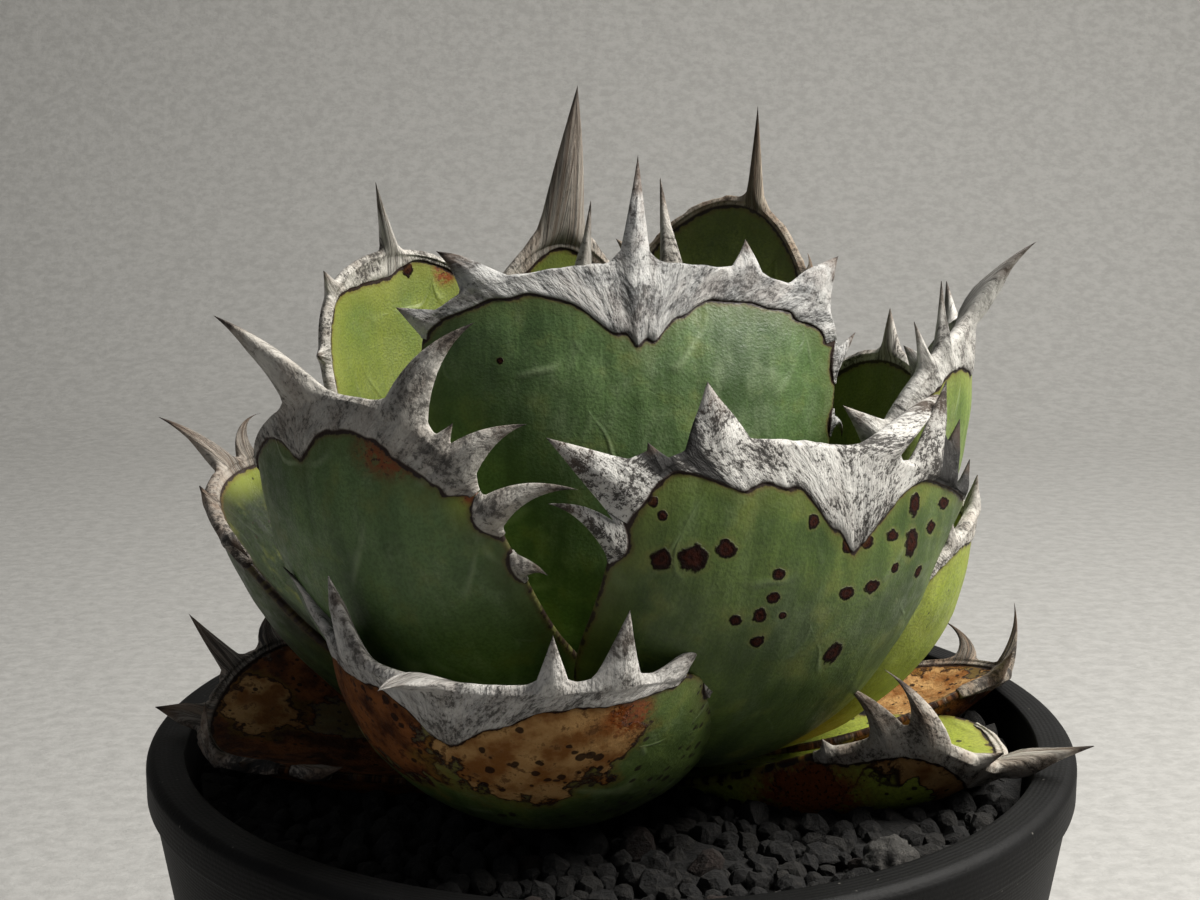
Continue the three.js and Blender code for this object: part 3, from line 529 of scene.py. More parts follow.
@dataclass(frozen=True)
class DeadHorn:
    """Horny margin of a leaf: dead tissue, dried and weathered.

    It is silvery with dark pores and grey clouds, its fibres run out into the teeth, and it has next
    to no shine.
    """

    pale: str = "c9c5bd"
    grey: str = "77736c"
    brown: float = 0.25
    speckle: float = 0.5
    char: float = 0.6
    pore: float = 0.6
    folds: float = 1.0
    seed: int = 0

    def build(self, name: str) -> bpy.types.Material:
        """Makes the material.

        Args:
            name: the material's name.

        Returns:
            The material.
        """
        look = Look(name)
        add, grain = look.add, look.grain
        flat = add(KEPT, attribute_name="flat", out="Vector")
        soot, tip, past = (add(KEPT, attribute_name=n, out="Fac") for n in ("soot", "tip", "line"))
        where = add(MOVE, flat, (13.0 * self.seed, 7.0 * self.seed, 3.0 * self.seed))
        # It weathers in clouds of 4 mm, and its fibres, 0.5 mm wide, are drawn out along the teeth.
        clouds = grain(where, 4.0, detail=5.0, rough=0.65)
        fibres = grain(where, 0.55, detail=4.0, rough=0.7, stretch=(1, 6, 1))
        # Real pores are about 0.2 mm; these are drawn coarser so that they show.
        pores = grain(where, self.pore, detail=5.0, rough=0.8, stretch=(1, 1.3, 1))
        on_tooth = add(RAMP, tip, 0.02, 0.35, 0.0, 0.6)
        fine = add(FADE, on_tooth, pores, fibres)
        worn = add(ADD, add(MULTIPLY, clouds, 0.62), add(MULTIPLY, fine, 0.38))
        colour = look.tint(self.pale, self.grey, worn, 0.4, 0.62)
        stain = grain(where, 3.0, detail=4.0, stretch=(1, 2, 1))
        colour = look.tint(colour, "6d4f33", stain, 0.42, 0.66, self.brown)
        crowd = add(RAMP, clouds, 0.4, 0.64, -0.02, 0.1)
        level = add(ADD, add(ADD, pores, crowd), add(MULTIPLY, soot, 0.14))
        ends = (0.585 - 0.05 * self.speckle, 0.64 - 0.04 * self.speckle)
        colour = look.tint(colour, "211c18", level, *ends, 0.55 + 0.35 * self.speckle)
        deep = add(RAMP, on_tooth, 0.0, 0.6, 0.1, 0.32)
        cracks = add(MULTIPLY, add(RAMP, fibres, 0.58, 0.68), deep)
        colour = add(BLEND, cracks, colour, "3a342e")
        burnt = add(ADD, soot, add(MULTIPLY, worn, 0.9))
        colour = look.tint(colour, "12100f", burnt, 0.92, 1.12, 0.94)
        # The teeth brown and darken towards their points, and the foot has a thin dark line.
        run = add(ADD, tip, add(RAMP, worn, 0.35, 0.65, -0.16, 0.16))
        colour = look.tint(colour, "5b4838", run, 0.35, 0.9, self.char)
        colour = look.tint(colour, "1f1713", run, 0.76, 1.02, 0.92)
        colour = look.tint(colour, "2c1a10", past, 0.3, 0.02)
        folded = grain(where, 2.3, detail=4.0, stretch=(1, 2, 1))
        relief = add(BUMP, Height=folded, Distance=self.folds * MM)
        grooves = add(SUBTRACT, 1.0, fibres)
        relief = add(BUMP, Height=grooves, Distance=0.22 * MM, Normal=relief)
        pits = add(SUBTRACT, 1.0, level)
        relief = add(BUMP, Height=pits, Distance=0.16 * MM, Normal=relief)
        return look.finish(Base_Color=colour, Roughness=0.8, IOR=1.5, Normal=relief)


@dataclass(frozen=True)
class MattPlastic:
    """Black polypropylene of a plant pot, moulded with a fine matt texture.

    The texture takes most of the shine; fine turning lines run along the rim with a painted
    highlight on their crests, and pale dust lies on it.
    """

    base: str = "060606"
    line_mm: float = 0.6

    def build(self, name: str) -> bpy.types.Material:
        """Makes the material.

        Args:
            name: the material's name.

        Returns:
            The material.
        """
        look = Look(name)
        add, grain = look.add, look.grain
        where = add(SCALE, add(PLACE, out="Object"), 1 / MM)
        x, y, z = add(SPLIT, where).node.outputs
        radius = add(SQRT, add(ADD, add(MULTIPLY, x, x), add(MULTIPLY, y, y)))
        uneven = add(MULTIPLY, grain(where, 6.0), 0.4)
        run = add(ADD, add(ADD, radius, z), uneven)
        # Real turning lines are about 0.2 mm apart; these are drawn coarser so that they show.
        rings = add(SINE, add(MULTIPLY, run, math.tau / self.line_mm))
        relief = add(BUMP, Height=add(RAMP, rings, -1.0, 1.0), Distance=0.02 * MM)
        pits = grain(where, 0.5, detail=4.0)
        relief = add(BUMP, Height=pits, Distance=0.06 * MM, Normal=relief)
        clouds = add(RAMP, grain(where, 8.0, detail=4.0), 0.35, 0.7)
        colour = add(BLEND, clouds, self.base, "0c0c0d")
        # The crests of the turning lines are painted lighter: a painted highlight.
        colour = look.tint(colour, "1c1c1c", rings, 0.2, 1.0, 0.12)
        some = add(RAMP, grain(where, 1.7), 0.5, 0.62)
        dust = add(MULTIPLY, add(RAMP, add(CELLS, where, 0.6), 0.12, 0.05), some)
        colour = add(BLEND, add(MULTIPLY, dust, 0.5), colour, "77746e")
        return look.finish(Base_Color=colour, Roughness=0.62, IOR=1.46, Normal=relief,
                           Specular_IOR_Level=0.2)


@dataclass(frozen=True)
class LavaGrit:
    """Crushed dark lava, sieved to a few millimetres: porous, sharp-edged and without shine."""

    dark: str = "070606"
    light: str = "171512"
    brown: str = "241812"
    pore: str = "2f2c28"

    def build(self, name: str) -> bpy.types.Material:
        """Makes the material.

        Args:
            name: the material's name.

        Returns:
            The material.
        """
        look = Look(name)
        add, grain = look.add, look.grain
        where = add(SCALE, add(PLACE, out="Object"), 1 / MM)
        shade = add(KEPT, attribute_name="shade", out="Fac")
        colour = look.tint(self.dark, self.light, shade, 0.45, 0.95)
        colour = look.tint(colour, self.brown, shade, 0.97, 0.99)
        # Pores just under a millimetre wide, bright at their broken rims.
        pores = grain(where, 0.9, detail=5.0, rough=0.75)
        colour = look.tint(colour, self.pore, pores, 0.5, 0.66, 0.6)
        relief = add(BUMP, Height=pores, Distance=1.2 * MM)
        return look.finish(Base_Color=colour, Roughness=0.88, IOR=1.5, Normal=relief)


@dataclass(frozen=True)
class PlainPaint:
    """Matt wall paint rolled on fine plaster, for the floor and the wall behind the object."""

    base: str = "b0afac"

    def build(self, name: str) -> bpy.types.Material:
        """Makes the material.

        Args:
            name: the material's name.

        Returns:
            The material.
        """
        look = Look(name)
        add, grain = look.add, look.grain
        where = add(SCALE, add(PLACE, out="Object"), 1 / MM)
        # The roller leaves a nap of about 4 mm.
        clouds = grain(where, 4.0, detail=5.0, rough=0.68, stretch=(1.3, 1, 1))
        colour = look.tint(self.base, "a2a19e", clouds, 0.34, 0.66)
        relief = add(BUMP, Height=clouds, Distance=0.55 * MM)
        return look.finish(Base_Color=colour, Roughness=0.9, Normal=relief)


# --- Leaves ---------------------------------------------------------------------------------------

THICK_AT = 0.45  # where a leaf is thickest, as a share of its midrib
ROOT_THIN = 0.34  # thickness at the root and at the tip, as shares of the thickest place
TIP_THIN = 0.5
FATNESS = 2.2  # exponent of the way the thickness falls off towards the margin
BEND = 0.42  # how firmly the midrib keeps its slope at both ends, as a share of its span
LIP = 0.5  # horn that stands past the leaf's flesh
ROOT_BARE = 4.0  # margin at the root that never has horn
BARE_EDGE = 0.3  # how far past the margin the horn line runs where there is no horn
FLARE = 0.3  # share of a tooth's height that its flaring foot makes up
LIFT_FOOT = 0.6  # share of its lift that a tooth already has at its foot
FAN = (0.15, 0.72)  # the rows of a leaf aim at points of the midrib between these shares of it
CHORD = 2.0  # half the stretch of margin that gives its direction
RIM = ((0.2, 0.75), (0.3, 0.0), (0.2, -0.75))  # the flesh's round edge: out in mm, height as a share
TUCK_IN, TUCK_DOWN = 0.15, 0.45  # how the horn's edge turns into the flesh
CREST = (0.1, 0.35)  # ridges that run down from the teeth: height and width as shares of the tooth
MARGIN_SAMPLES = 96
SAME_PLACE = 0.012  # cross-sections of the horn are never closer than this


@dataclass(frozen=True)
class Spur:
    """A tooth or the end spine, in millimetres and degrees.

    place is where it stands along the margin from the leaf's tip, negative on the left, half is half
    its foot, and core the share of that which the horn itself takes before its foot flares out. lean
    tilts it along the margin, hook bends it further towards its point and lift raises it out of the
    blade.
    """

    place: float
    height: float
    half: float
    lean: float = 0.0
    hook: float = 0.0
    lift: float = 0.0
    core: float = 0.42

    def up(self, away: Array) -> Array:
        """Height of its edge, from 0 to 1, at shares of its half foot from its middle."""
        horn = np.clip(1 - away / self.core, 0, 1)
        return (1 - FLARE) * horn + FLARE * np.clip(1 - away, 0, 1) ** 2

    def span(self, height: Array) -> Array:
        """Half its width at shares of its height, as shares of its half foot."""
        away = np.linspace(1, 0, 101)
        return np.interp(height, self.up(away), away)


@dataclass(frozen=True)
class LeafForm:
    """The shape of one leaf, in millimetres and degrees, as in the part's source.

    heading is the direction from the front towards the right. root and tip are radius and height of
    the midrib's ends, aside moves the tip sideways, rise is its slope at both ends, lean tilts the
    tip sideways, roll turns the blade about the midrib and cup is its curl to each side at both
    ends. line says how deep the horn reaches at some places along the margin, from its left end to
    its right end, and inside is its most on the inner face.
    """

    heading: float
    root: tuple[float, float]
    tip: tuple[float, float]
    rise: tuple[float, float]
    width: float
    cup: tuple[float, float]
    line: tuple[tuple[float, float], ...]
    spurs: tuple[Spur, ...]
    aside: float = 0.0
    lean: float = 0.0
    roll: float = 0.0
    root_width: float = 14.0
    broad_at: float = 0.6
    blunt: float = 4.0
    thick: float = 7.0
    inside: float = 1.1
    edge: float = 0.5
    fine: bool = True


@dataclass
class Leaf:
    """One leaf: its flesh and its horn margin."""

    number: int
    form: LeafForm
    skin: WaxyLeafSkin
    horn_look: DeadHorn
    soot: tuple[tuple[float, float, float], ...] = ()  # place along the margin, reach, strength
    skin_slot: str = "leaf"
    flesh_step: float = 0.9
    horn_step: float = 0.7
    plain_steps: tuple[float, float] = (0.9 * 1.7, 0.7 * 1.6)  # for leaves that are hidden
    rings: int = 20
    plain_rings: int = 14

    def __post_init__(self) -> None:
        """Works out the midrib and the outline."""
        form = self.form
        if not form.fine:
            self.flesh_step, self.horn_step = self.plain_steps
            self.rings = self.plain_rings
        turn = math.radians(form.heading)
        self.radial = np.array([math.sin(turn), -math.cos(turn), 0.0])
        self.across = np.array([math.cos(turn), math.sin(turn), 0.0])
        up = np.array([0.0, 0.0, 1.0])
        root = self.radial * form.root[0] + up * form.root[1]
        tip = self.radial * form.tip[0] + up * form.tip[1] + self.across * form.aside
        pull = BEND * np.linalg.norm(tip - root)
        ways = []
        for rise, lean in ((form.rise[0], 0.0), (form.rise[1], form.lean)):
            rise, lean = math.radians(rise), math.radians(lean)
            way = (up * math.sin(rise) + self.radial * math.cos(rise)) * math.cos(lean)
            ways.append(way + self.across * math.sin(lean))
        self.poles = np.array([root, root + ways[0] * pull, tip - ways[1] * pull, tip])
        self.params = np.linspace(0, 1, 401)
        steps = np.linalg.norm(np.diff(self.bezier(self.params)[0], axis=0), axis=1)
        runs = np.concatenate([[0.0], np.cumsum(steps)])
        self.length = float(runs[-1])
        self.shares = runs / self.length
        self.trace_margin()

    def bezier(self, t: Array) -> tuple[Array, Array]:
        """Follows the midrib's curve.

        Args:
            t: parameters from 0 at the root to 1 at the tip.

        Returns:
            Its points and unit directions there.
        """
        t = t[:, None]
        a, b, c, d = self.poles
        s = 1 - t
        points = s**3 * a + 3 * s * s * t * b + 3 * s * t * t * c + t**3 * d
        way = s * s * (b - a) + 2 * s * t * (c - b) + t * t * (d - c)
        return points, way / np.linalg.norm(way, axis=1, keepdims=True)

    def place(self, u: Array, v: Array, n: Array) -> Array:
        """Bends flat points into space.

        Args:
            u: distance across the leaf.
            v: distance along the midrib.
            n: distance outwards from the leaf's middle surface.

        Returns:
            Points in millimetres, in the shape of u with 3 added.
        """
        form, shape = self.form, np.shape(u)
        u, v, n = (np.ravel(x) for x in (u, v, n))
        share = np.clip(v / self.length, 0, 1)
        centre, along = self.bezier(np.interp(share, self.shares, self.params))
        centre = centre + along * (v - share * self.length)[:, None]
        side = self.across - along * (along @ self.across)[:, None]
        side /= np.linalg.norm(side, axis=1, keepdims=True)
        outward = np.cross(side, along)
        turn = np.radians(form.roll * share)[:, None]
        s = side * np.cos(turn) + outward * np.sin(turn)
        o = outward * np.cos(turn) - side * np.sin(turn)
        curl = np.radians(mix(form.cup[0], form.cup[1], share)) / (form.width / 2)
        radius = 1 / curl + n
        out = centre + s * (radius * np.sin(curl * u))[:, None]
        out += o * (radius * np.cos(curl * u) - 1 / curl)[:, None]
        return out.reshape(*shape, 3)

    def trace_margin(self) -> None:
        """Samples the outline: it widens from the root and closes in a blunt round end."""
        form = self.form
        share = np.linspace(0, 1, MARGIN_SAMPLES, endpoint=False)
        half = mix(form.root_width / 2, form.width / 2, np.sin(share * math.pi / 2))
        low = np.stack([half, share * form.broad_at * self.length], 1)
        turn = np.linspace(0, math.pi / 2, MARGIN_SAMPLES + 1)
        rise = np.sin(turn) ** (2 / form.blunt)
        high = np.stack([form.width / 2 * np.cos(turn), mix(form.broad_at, 1.0, rise) * self.length], 1)
        right = np.concatenate([low, high])
        left = right * [-1, 1]
        self.outline = np.concatenate([left, right[::-1][1:]])
        steps = np.linalg.norm(np.diff(self.outline, axis=0), axis=1)
        self.sigmas = np.concatenate([[0.0], np.cumsum(steps)])
        self.side = float(self.sigmas[len(left) - 1])
        self.sigmas -= self.side

    def margin_at(self, sigma: Array) -> Array:
        """Flat points of the margin at lengths sigma from the tip."""
        return np.stack([np.interp(sigma, self.sigmas, self.outline[:, k]) for k in (0, 1)], -1)

    def heading_at(self, sigma: Array) -> tuple[Array, Array]:
        """Finds the directions at places of the margin.

        Args:
            sigma: lengths along the margin from the tip.

        Returns:
            Flat unit directions along the margin and outwards from it.
        """
        sigma = np.asarray(sigma, float)
        along = self.margin_at(sigma + CHORD) - self.margin_at(sigma - CHORD)
        along /= np.linalg.norm(along, axis=-1, keepdims=True)
        return along, np.stack([-along[..., 1], along[..., 0]], -1)

    @property
    def horn_ends(self) -> tuple[float, float]:
        """Where the horn band ends down the left and right margin."""
        most = self.side - ROOT_BARE
        return max(self.form.line[0][0], -most), min(self.form.line[-1][0], most)

    def wave(self, x: Array, period: float, seed: int) -> Array:
        """Makes a smooth wave.

        Args:
            x: where it is wanted.
            period: about its length, in the unit of x.
            seed: number that its form is drawn from.

        Returns:
            Its values, from -1 to 1.
        """
        rng = np.random.default_rng(self.number * 97 + seed)
        out = np.zeros_like(x)
        for _ in range(4):
            out += np.sin(x * math.tau / (period * rng.uniform(0.6, 1.7)) + rng.uniform(0, math.tau))
        return out / 4

    def ripple(self, u: Array, v: Array, period: float, seed: int) -> Array:
        """Makes a smooth relief over the leaf.

        Args:
            u: distance across the leaf.
            v: distance along the midrib.
            period: about the size of its swellings.
            seed: number that its form is drawn from.

        Returns:
            Its values, from -1 to 1.
        """
        rng = np.random.default_rng(self.number * 131 + seed)
        out = np.zeros_like(u)
        for _ in range(6):
            turn = rng.uniform(0, math.tau)
            run = u * math.cos(turn) + v * math.sin(turn)
            out += np.sin(run * math.tau / (period * rng.uniform(0.7, 1.6)) + rng.uniform(0, math.tau))
        return out / 6

    def band_at(self, sigma: Array) -> Array:
        """Works out the horn band on the outer face.

        Args:
            sigma: lengths along the margin from the tip.

        Returns:
            Its width there.
        """
        places, depths = np.array(self.form.line).T
        after = np.clip(np.searchsorted(places, sigma), 1, len(places) - 1)
        share = (sigma - places[after - 1]) / (places[after] - places[after - 1])
        width = mix(depths[after - 1], depths[after], ease(share))
        return width * (1 + 0.1 * self.wave(sigma, 6.0, 1)) + 0.1 * self.wave(sigma, 1.9, 2)

    def inwards(self, start: Array) -> Array:
        """Finds the way that the rows of the leaf take.

        Args:
            start: flat margin points.

        Returns:
            Flat ways from there to the midrib.
        """
        low, high = (x * self.length for x in FAN)
        aim = np.stack([np.zeros_like(start[..., 0]), np.clip(start[..., 1], low, high)], -1)
        return aim - start

    def within(self, start: Array, depth: Array) -> tuple[Array, Array]:
        """Goes inwards from margin points.

        Args:
            start: flat margin points.
            depth: how far inwards along each row.

        Returns:
            The flat points, and half the leaf's thickness there.
        """
        aim = self.inwards(start)
        share = np.clip(depth / np.linalg.norm(aim, axis=-1), 0, 1)
        flat = start + aim * share[..., None]
        along = np.clip(flat[..., 1] / self.length, 0, 1)
        before = mix(ROOT_THIN, 1, np.sin(np.minimum(along / THICK_AT, 1) * math.pi / 2))
        after = mix(1, TIP_THIN, (along - THICK_AT) / (1 - THICK_AT))
        full = self.form.thick * np.where(along < THICK_AT, before, after) / 2
        return flat, mix(self.form.edge, full, 1 - (1 - share) ** FATNESS)

    def relief(self, flat: Array, half: Array) -> Array:
        """Works out the gentle swellings of the flesh, which fade out towards the margin.

        Args:
            flat: flat points of the leaf.
            half: half its thickness there.

        Returns:
            How far the surface rises there.
        """
        body = np.clip((half - self.form.edge) / 1.5, 0, 1)
        return body * (0.3 * self.ripple(flat[..., 0], flat[..., 1], 17.0, 5)
                       + 0.12 * self.ripple(flat[..., 0], flat[..., 1], 6.0, 6))

    def flesh(self) -> bpy.types.Object:
        """Makes the green part: two faces of rings that shrink from the margin to the midrib.

        Returns:
            The object.
        """
        steps = max(20, round(self.side / self.flesh_step))
        sigma = np.linspace(-1, 1, 2 * steps + 1) * self.side
        half_root = self.form.root_width / 2
        back = np.linspace(half_root, -half_root, 12)[1:-1]
        start = np.concatenate([self.margin_at(sigma), np.stack([back, 0 * back], 1)])
        outward = np.concatenate([self.heading_at(sigma)[1], np.tile([0.0, -1.0], (len(back), 1))])
        sigma = np.concatenate([sigma, np.full(len(back), self.side)])
        rings = (np.linspace(0, 1, self.rings) ** 1.5)[:, None]
        depth = rings * np.linalg.norm(self.inwards(start), axis=1)
        sheets = []
        for face in (1.0, -1.0):
            flat, half = self.within(np.broadcast_to(start, (self.rings, *start.shape)), depth)
            edge = depth - self.line_at(sigma, face)
            sheets.append((flat, face * half + self.relief(flat, half), edge, np.full_like(half, face)))
        outer, inner = sheets
        rim = []
        for out, n in RIM:
            near = (outer if n >= 0 else inner)[2][0]
            height, face = n * self.form.edge, math.copysign(1, n)
            rim.append((start + outward * out, np.full(len(start), height), near,
                        np.full(len(start), face)))
        flat, n, edge, face = (
            np.concatenate([a[::-1], r, b]) for a, r, b in zip(outer, zip(*rim), inner)
        )
        kept = np.concatenate([flat, np.zeros((*flat.shape[:2], 1))], -1)
        surface = Surface()
        surface.add_grid(self.place(flat[..., 0], flat[..., 1], n), (False, True), flat=kept,
                         edge=edge, face=face)
        return surface.make(f"leaf_{self.number:02d}_flesh", weld=0.003)

    def line_at(self, sigma: Array, face: float) -> Array:
        """Works out how deep the horn's inner line lies.

        Args:
            sigma: lengths along the margin from the tip.
            face: 1 for the outer face and -1 for the inner one.

        Returns:
            Its depth there, a little below 0 where there is no horn.
        """
        low, high = self.horn_ends
        width = self.band_at(sigma) if face > 0 else np.minimum(self.form.inside, self.band_at(sigma))
        has = (sigma >= low) & (sigma <= high)
        line = np.where(has, width, -BARE_EDGE)
        for spur in self.form.spurs:
            if not low < spur.place < high:
                line = np.where(np.abs(sigma - spur.place) < spur.half, self.pad_at(sigma, spur), line)
        return line

    @staticmethod
    def pad_at(sigma: Array, spur: Spur) -> Array:
        """Depth of the horn pad under a tooth that stands apart from the band."""
        away = np.clip(np.abs(sigma - spur.place) / spur.half, 0, 1)
        return 0.1 + 0.16 * spur.height * (1 - away**2)

    def climb(self, sigma: Array, q: Array) -> tuple[Array, ...]:
        """Follows the rows of horn from the margin out to the edge of the spine and teeth.

        Args:
            sigma: lengths along the margin.
            q: shares of the way out, in the shape of sigma.

        Returns:
            Flat points, lift out of the leaf, half thickness and how far up a tooth each point is.
        """
        _, outward = self.heading_at(sigma)
        lip = LIP * (1 + 0.35 * self.wave(sigma, 3.1, 3))
        low, high = self.horn_ends
        flat = self.margin_at(sigma) + outward * (lip * q)[..., None]
        lifted = np.zeros_like(sigma)
        half = (self.form.edge + 0.15) * np.sqrt(np.clip(1 - q**2, 0, 1))
        up_most = np.zeros_like(sigma)
        for spur in self.form.spurs:
            away = np.abs(sigma - spur.place) / spur.half
            up = spur.up(away)
            h = q * up
            tooth_along, tooth_out = self.heading_at(spur.place)
            turn = np.radians(spur.lean + spur.hook * h)
            raise_ = np.radians(spur.lift * mix(LIFT_FOOT, 1, h))
            reach = spur.height * h * np.cos(raise_)
            flat = flat + tooth_out * (reach * np.cos(turn))[..., None]
            flat = flat + tooth_along * (reach * np.sin(turn))[..., None]
            lifted = lifted + spur.height * h * np.sin(raise_)
            span = np.clip(spur.span(h), 1e-4, 1)
            section = np.sqrt(np.clip(1 - (np.minimum(away, span) / span) ** 2, 0, 1))
            stout, round_ = (1.5, 0.9) if spur.place == 0 else (0.9, 0.6)
            tooth = np.minimum(stout, round_ * spur.half * span + 0.05) * section
            weight = 1 - np.exp(-spur.height * h / 1.4)
            half = np.where(up > 0, mix(half, tooth, weight), half)
            up_most = np.maximum(up_most, h)
        return flat, lifted, half, up_most

    def stations(self, low: float, high: float) -> Array:
        """Chooses the cross-sections of the horn, which stand close together at each tooth's tip.

        Args:
            low: where the horn starts along the margin.
            high: where it ends.

        Returns:
            Lengths along the margin.
        """
        steps = np.linspace(low, high, max(6, round((high - low) / self.horn_step)))
        close = [steps]
        for spur in self.form.spurs:
            offset = spur.half * np.linspace(0, 1, 17 if self.form.fine else 11) ** 1.5
            close.append(np.concatenate([spur.place - offset, spur.place + offset]))
        places = np.sort(np.concatenate(close))
        places = places[(places >= low) & (places <= high)]
        return places[np.concatenate([[True], np.diff(places) > SAME_PLACE])]

    def crest(self, sigma: Array) -> Array:
        """Works out the ridges that run from the teeth down over the band.

        Args:
            sigma: lengths along the margin from the tip.

        Returns:
            Their height there.
        """
        high, wide = CREST
        away = [(sigma - spur.place) / (wide * spur.half) for spur in self.form.spurs]
        return sum(high * spur.height * np.exp(-(x**2)) for spur, x in zip(self.form.spurs, away))

    def horn_strip(self, surface: Surface, sigma: Array, line_out: Array, line_in: Array) -> None:
        """Adds one closed length of horn to the surface.

        Args:
            surface: where it goes.
            sigma: lengths along the margin.
            line_out: depth of its inner line on the outer face.
            line_in: the same on the inner face.
        """
        start, zero, crest = self.margin_at(sigma), np.zeros_like(sigma), self.crest(sigma)
        ends = ease(np.minimum(sigma - sigma[0], sigma[-1] - sigma) / 1.5)
        # Flat points, height, how far up a tooth and how far past the inner line, for each row.
        rows: list[tuple[Array, Array, Array, Array]] = []

        def tucked(line: Array, face: int) -> None:
            """Adds the row that lies inside the flesh."""
            flat, half = self.within(start, line + TUCK_IN)
            rows.append((flat, face * (half - TUCK_DOWN) + self.relief(flat, half), zero, zero))

        def on_face(line: Array, share: float, face: int) -> None:
            """Adds a row between the inner line and the margin.

            Args:
                line: depth of the inner line.
                share: how far the row lies from the line towards the margin.
                face: 1 for the outer face and -1 for the inner one.
            """
            depth = line * (1 - share)
            flat, half = self.within(start, depth)
            proud = 0.05 + 0.2 * ends * ease(share * 5 + 0.3) * (1 if face > 0 else 0.7)
            if face > 0:
                proud = proud + (0.5 * crest * share**0.7 + 0.07 * self.wave(sigma, 2.3, 4)) * ends
            height = face * (half + proud) + self.relief(flat, half)
            rows.append((flat, height, zero, line - depth))

        def on_tooth(q: float, face: int) -> None:
            """Adds a row between the margin and the edge of the teeth.

            Args:
                q: how far out the row lies.
                face: 1 for the outer face and -1 for the inner one.
            """
            flat, lifted, half, up = self.climb(sigma, np.full_like(sigma, q))
            rise = (0.25 + 0.5 * crest * (face > 0)) * ends * np.clip(1 - q * 1.6, 0, 1)
            past = (line_out if face > 0 else line_in) + 1.0
            rows.append((flat, lifted + face * (half + rise * (half > 0.05)), up, past))

        shares = np.linspace(0, 1, 9 if self.form.fine else 6)
        ways = np.sin(np.linspace(0, math.pi / 2, 13 if self.form.fine else 8))
        tucked(line_out, 1)
        for share in shares[:-1]:
            on_face(line_out, share, 1)
        for q in ways:
            on_tooth(q, 1)
        for q in ways[-2::-1]:
            on_tooth(q, -1)
        for share in shares[-2::-2]:
            on_face(line_in, share, -1)
        tucked(line_in, -1)
        flat, n, tip, line = (np.stack(part) for part in zip(*rows))
        points = self.place(flat[..., 0], flat[..., 1], n)
        steps = np.linalg.norm(np.diff(points, axis=0, prepend=points[:1]), axis=2)
        across = np.broadcast_to(sigma, n.shape)
        kept = np.stack([across, np.cumsum(steps, axis=0), np.zeros_like(n)], -1)
        soot = zero
        for place, spread, strength in self.soot:
            soot = soot + strength * np.exp(-(((sigma - place) / spread) ** 2))
        soot = np.broadcast_to(soot, n.shape)
        index = surface.add_grid(points, (True, False), flat=kept, tip=tip, line=line, soot=soot)
        for end in (0, -1):
            middle = points[:, end].mean(0)[None, None]
            hub = surface.add_grid(middle, (False, False), flat=kept[:1, end][None],
                                   tip=np.zeros((1, 1)), line=np.ones((1, 1)),
                                   soot=soot[:1, end][None])
            ring = index[:, end]
            fan = [ring, np.roll(ring, -1), np.full_like(ring, hub[0, 0])]
            surface.faces.append(np.stack(fan, 1))

    def horn(self) -> bpy.types.Object:
        """Makes the horn: the band round the end of the leaf, and a pad under each tooth beyond it.

        Returns:
            The object.
        """
        surface = Surface()
        low, high = self.horn_ends
        sigma = self.stations(low, high)
        line = self.band_at(sigma)
        self.horn_strip(surface, sigma, line, np.minimum(self.form.inside, line))
        for spur in self.form.spurs:
            if low < spur.place < high:
                continue
            sigma = self.stations(spur.place - spur.half, spur.place + spur.half)
            line = self.pad_at(sigma, spur)
            self.horn_strip(surface, sigma, line, 0.6 * line)
        return surface.make(f"leaf_{self.number:02d}_margin")

    def build(self) -> None:
        """Makes both pieces and dresses them."""
        label = f"leaf_{self.number:02d}"
        skin = self.skin.build(f"{label}_waxy_skin")
        settle(self.flesh(), (f"{label}_blade",), self.skin_slot, skin)
        settle(self.horn(), (f"{label}_horn",), "horn", self.horn_look.build(f"{label}_dead_horn"))


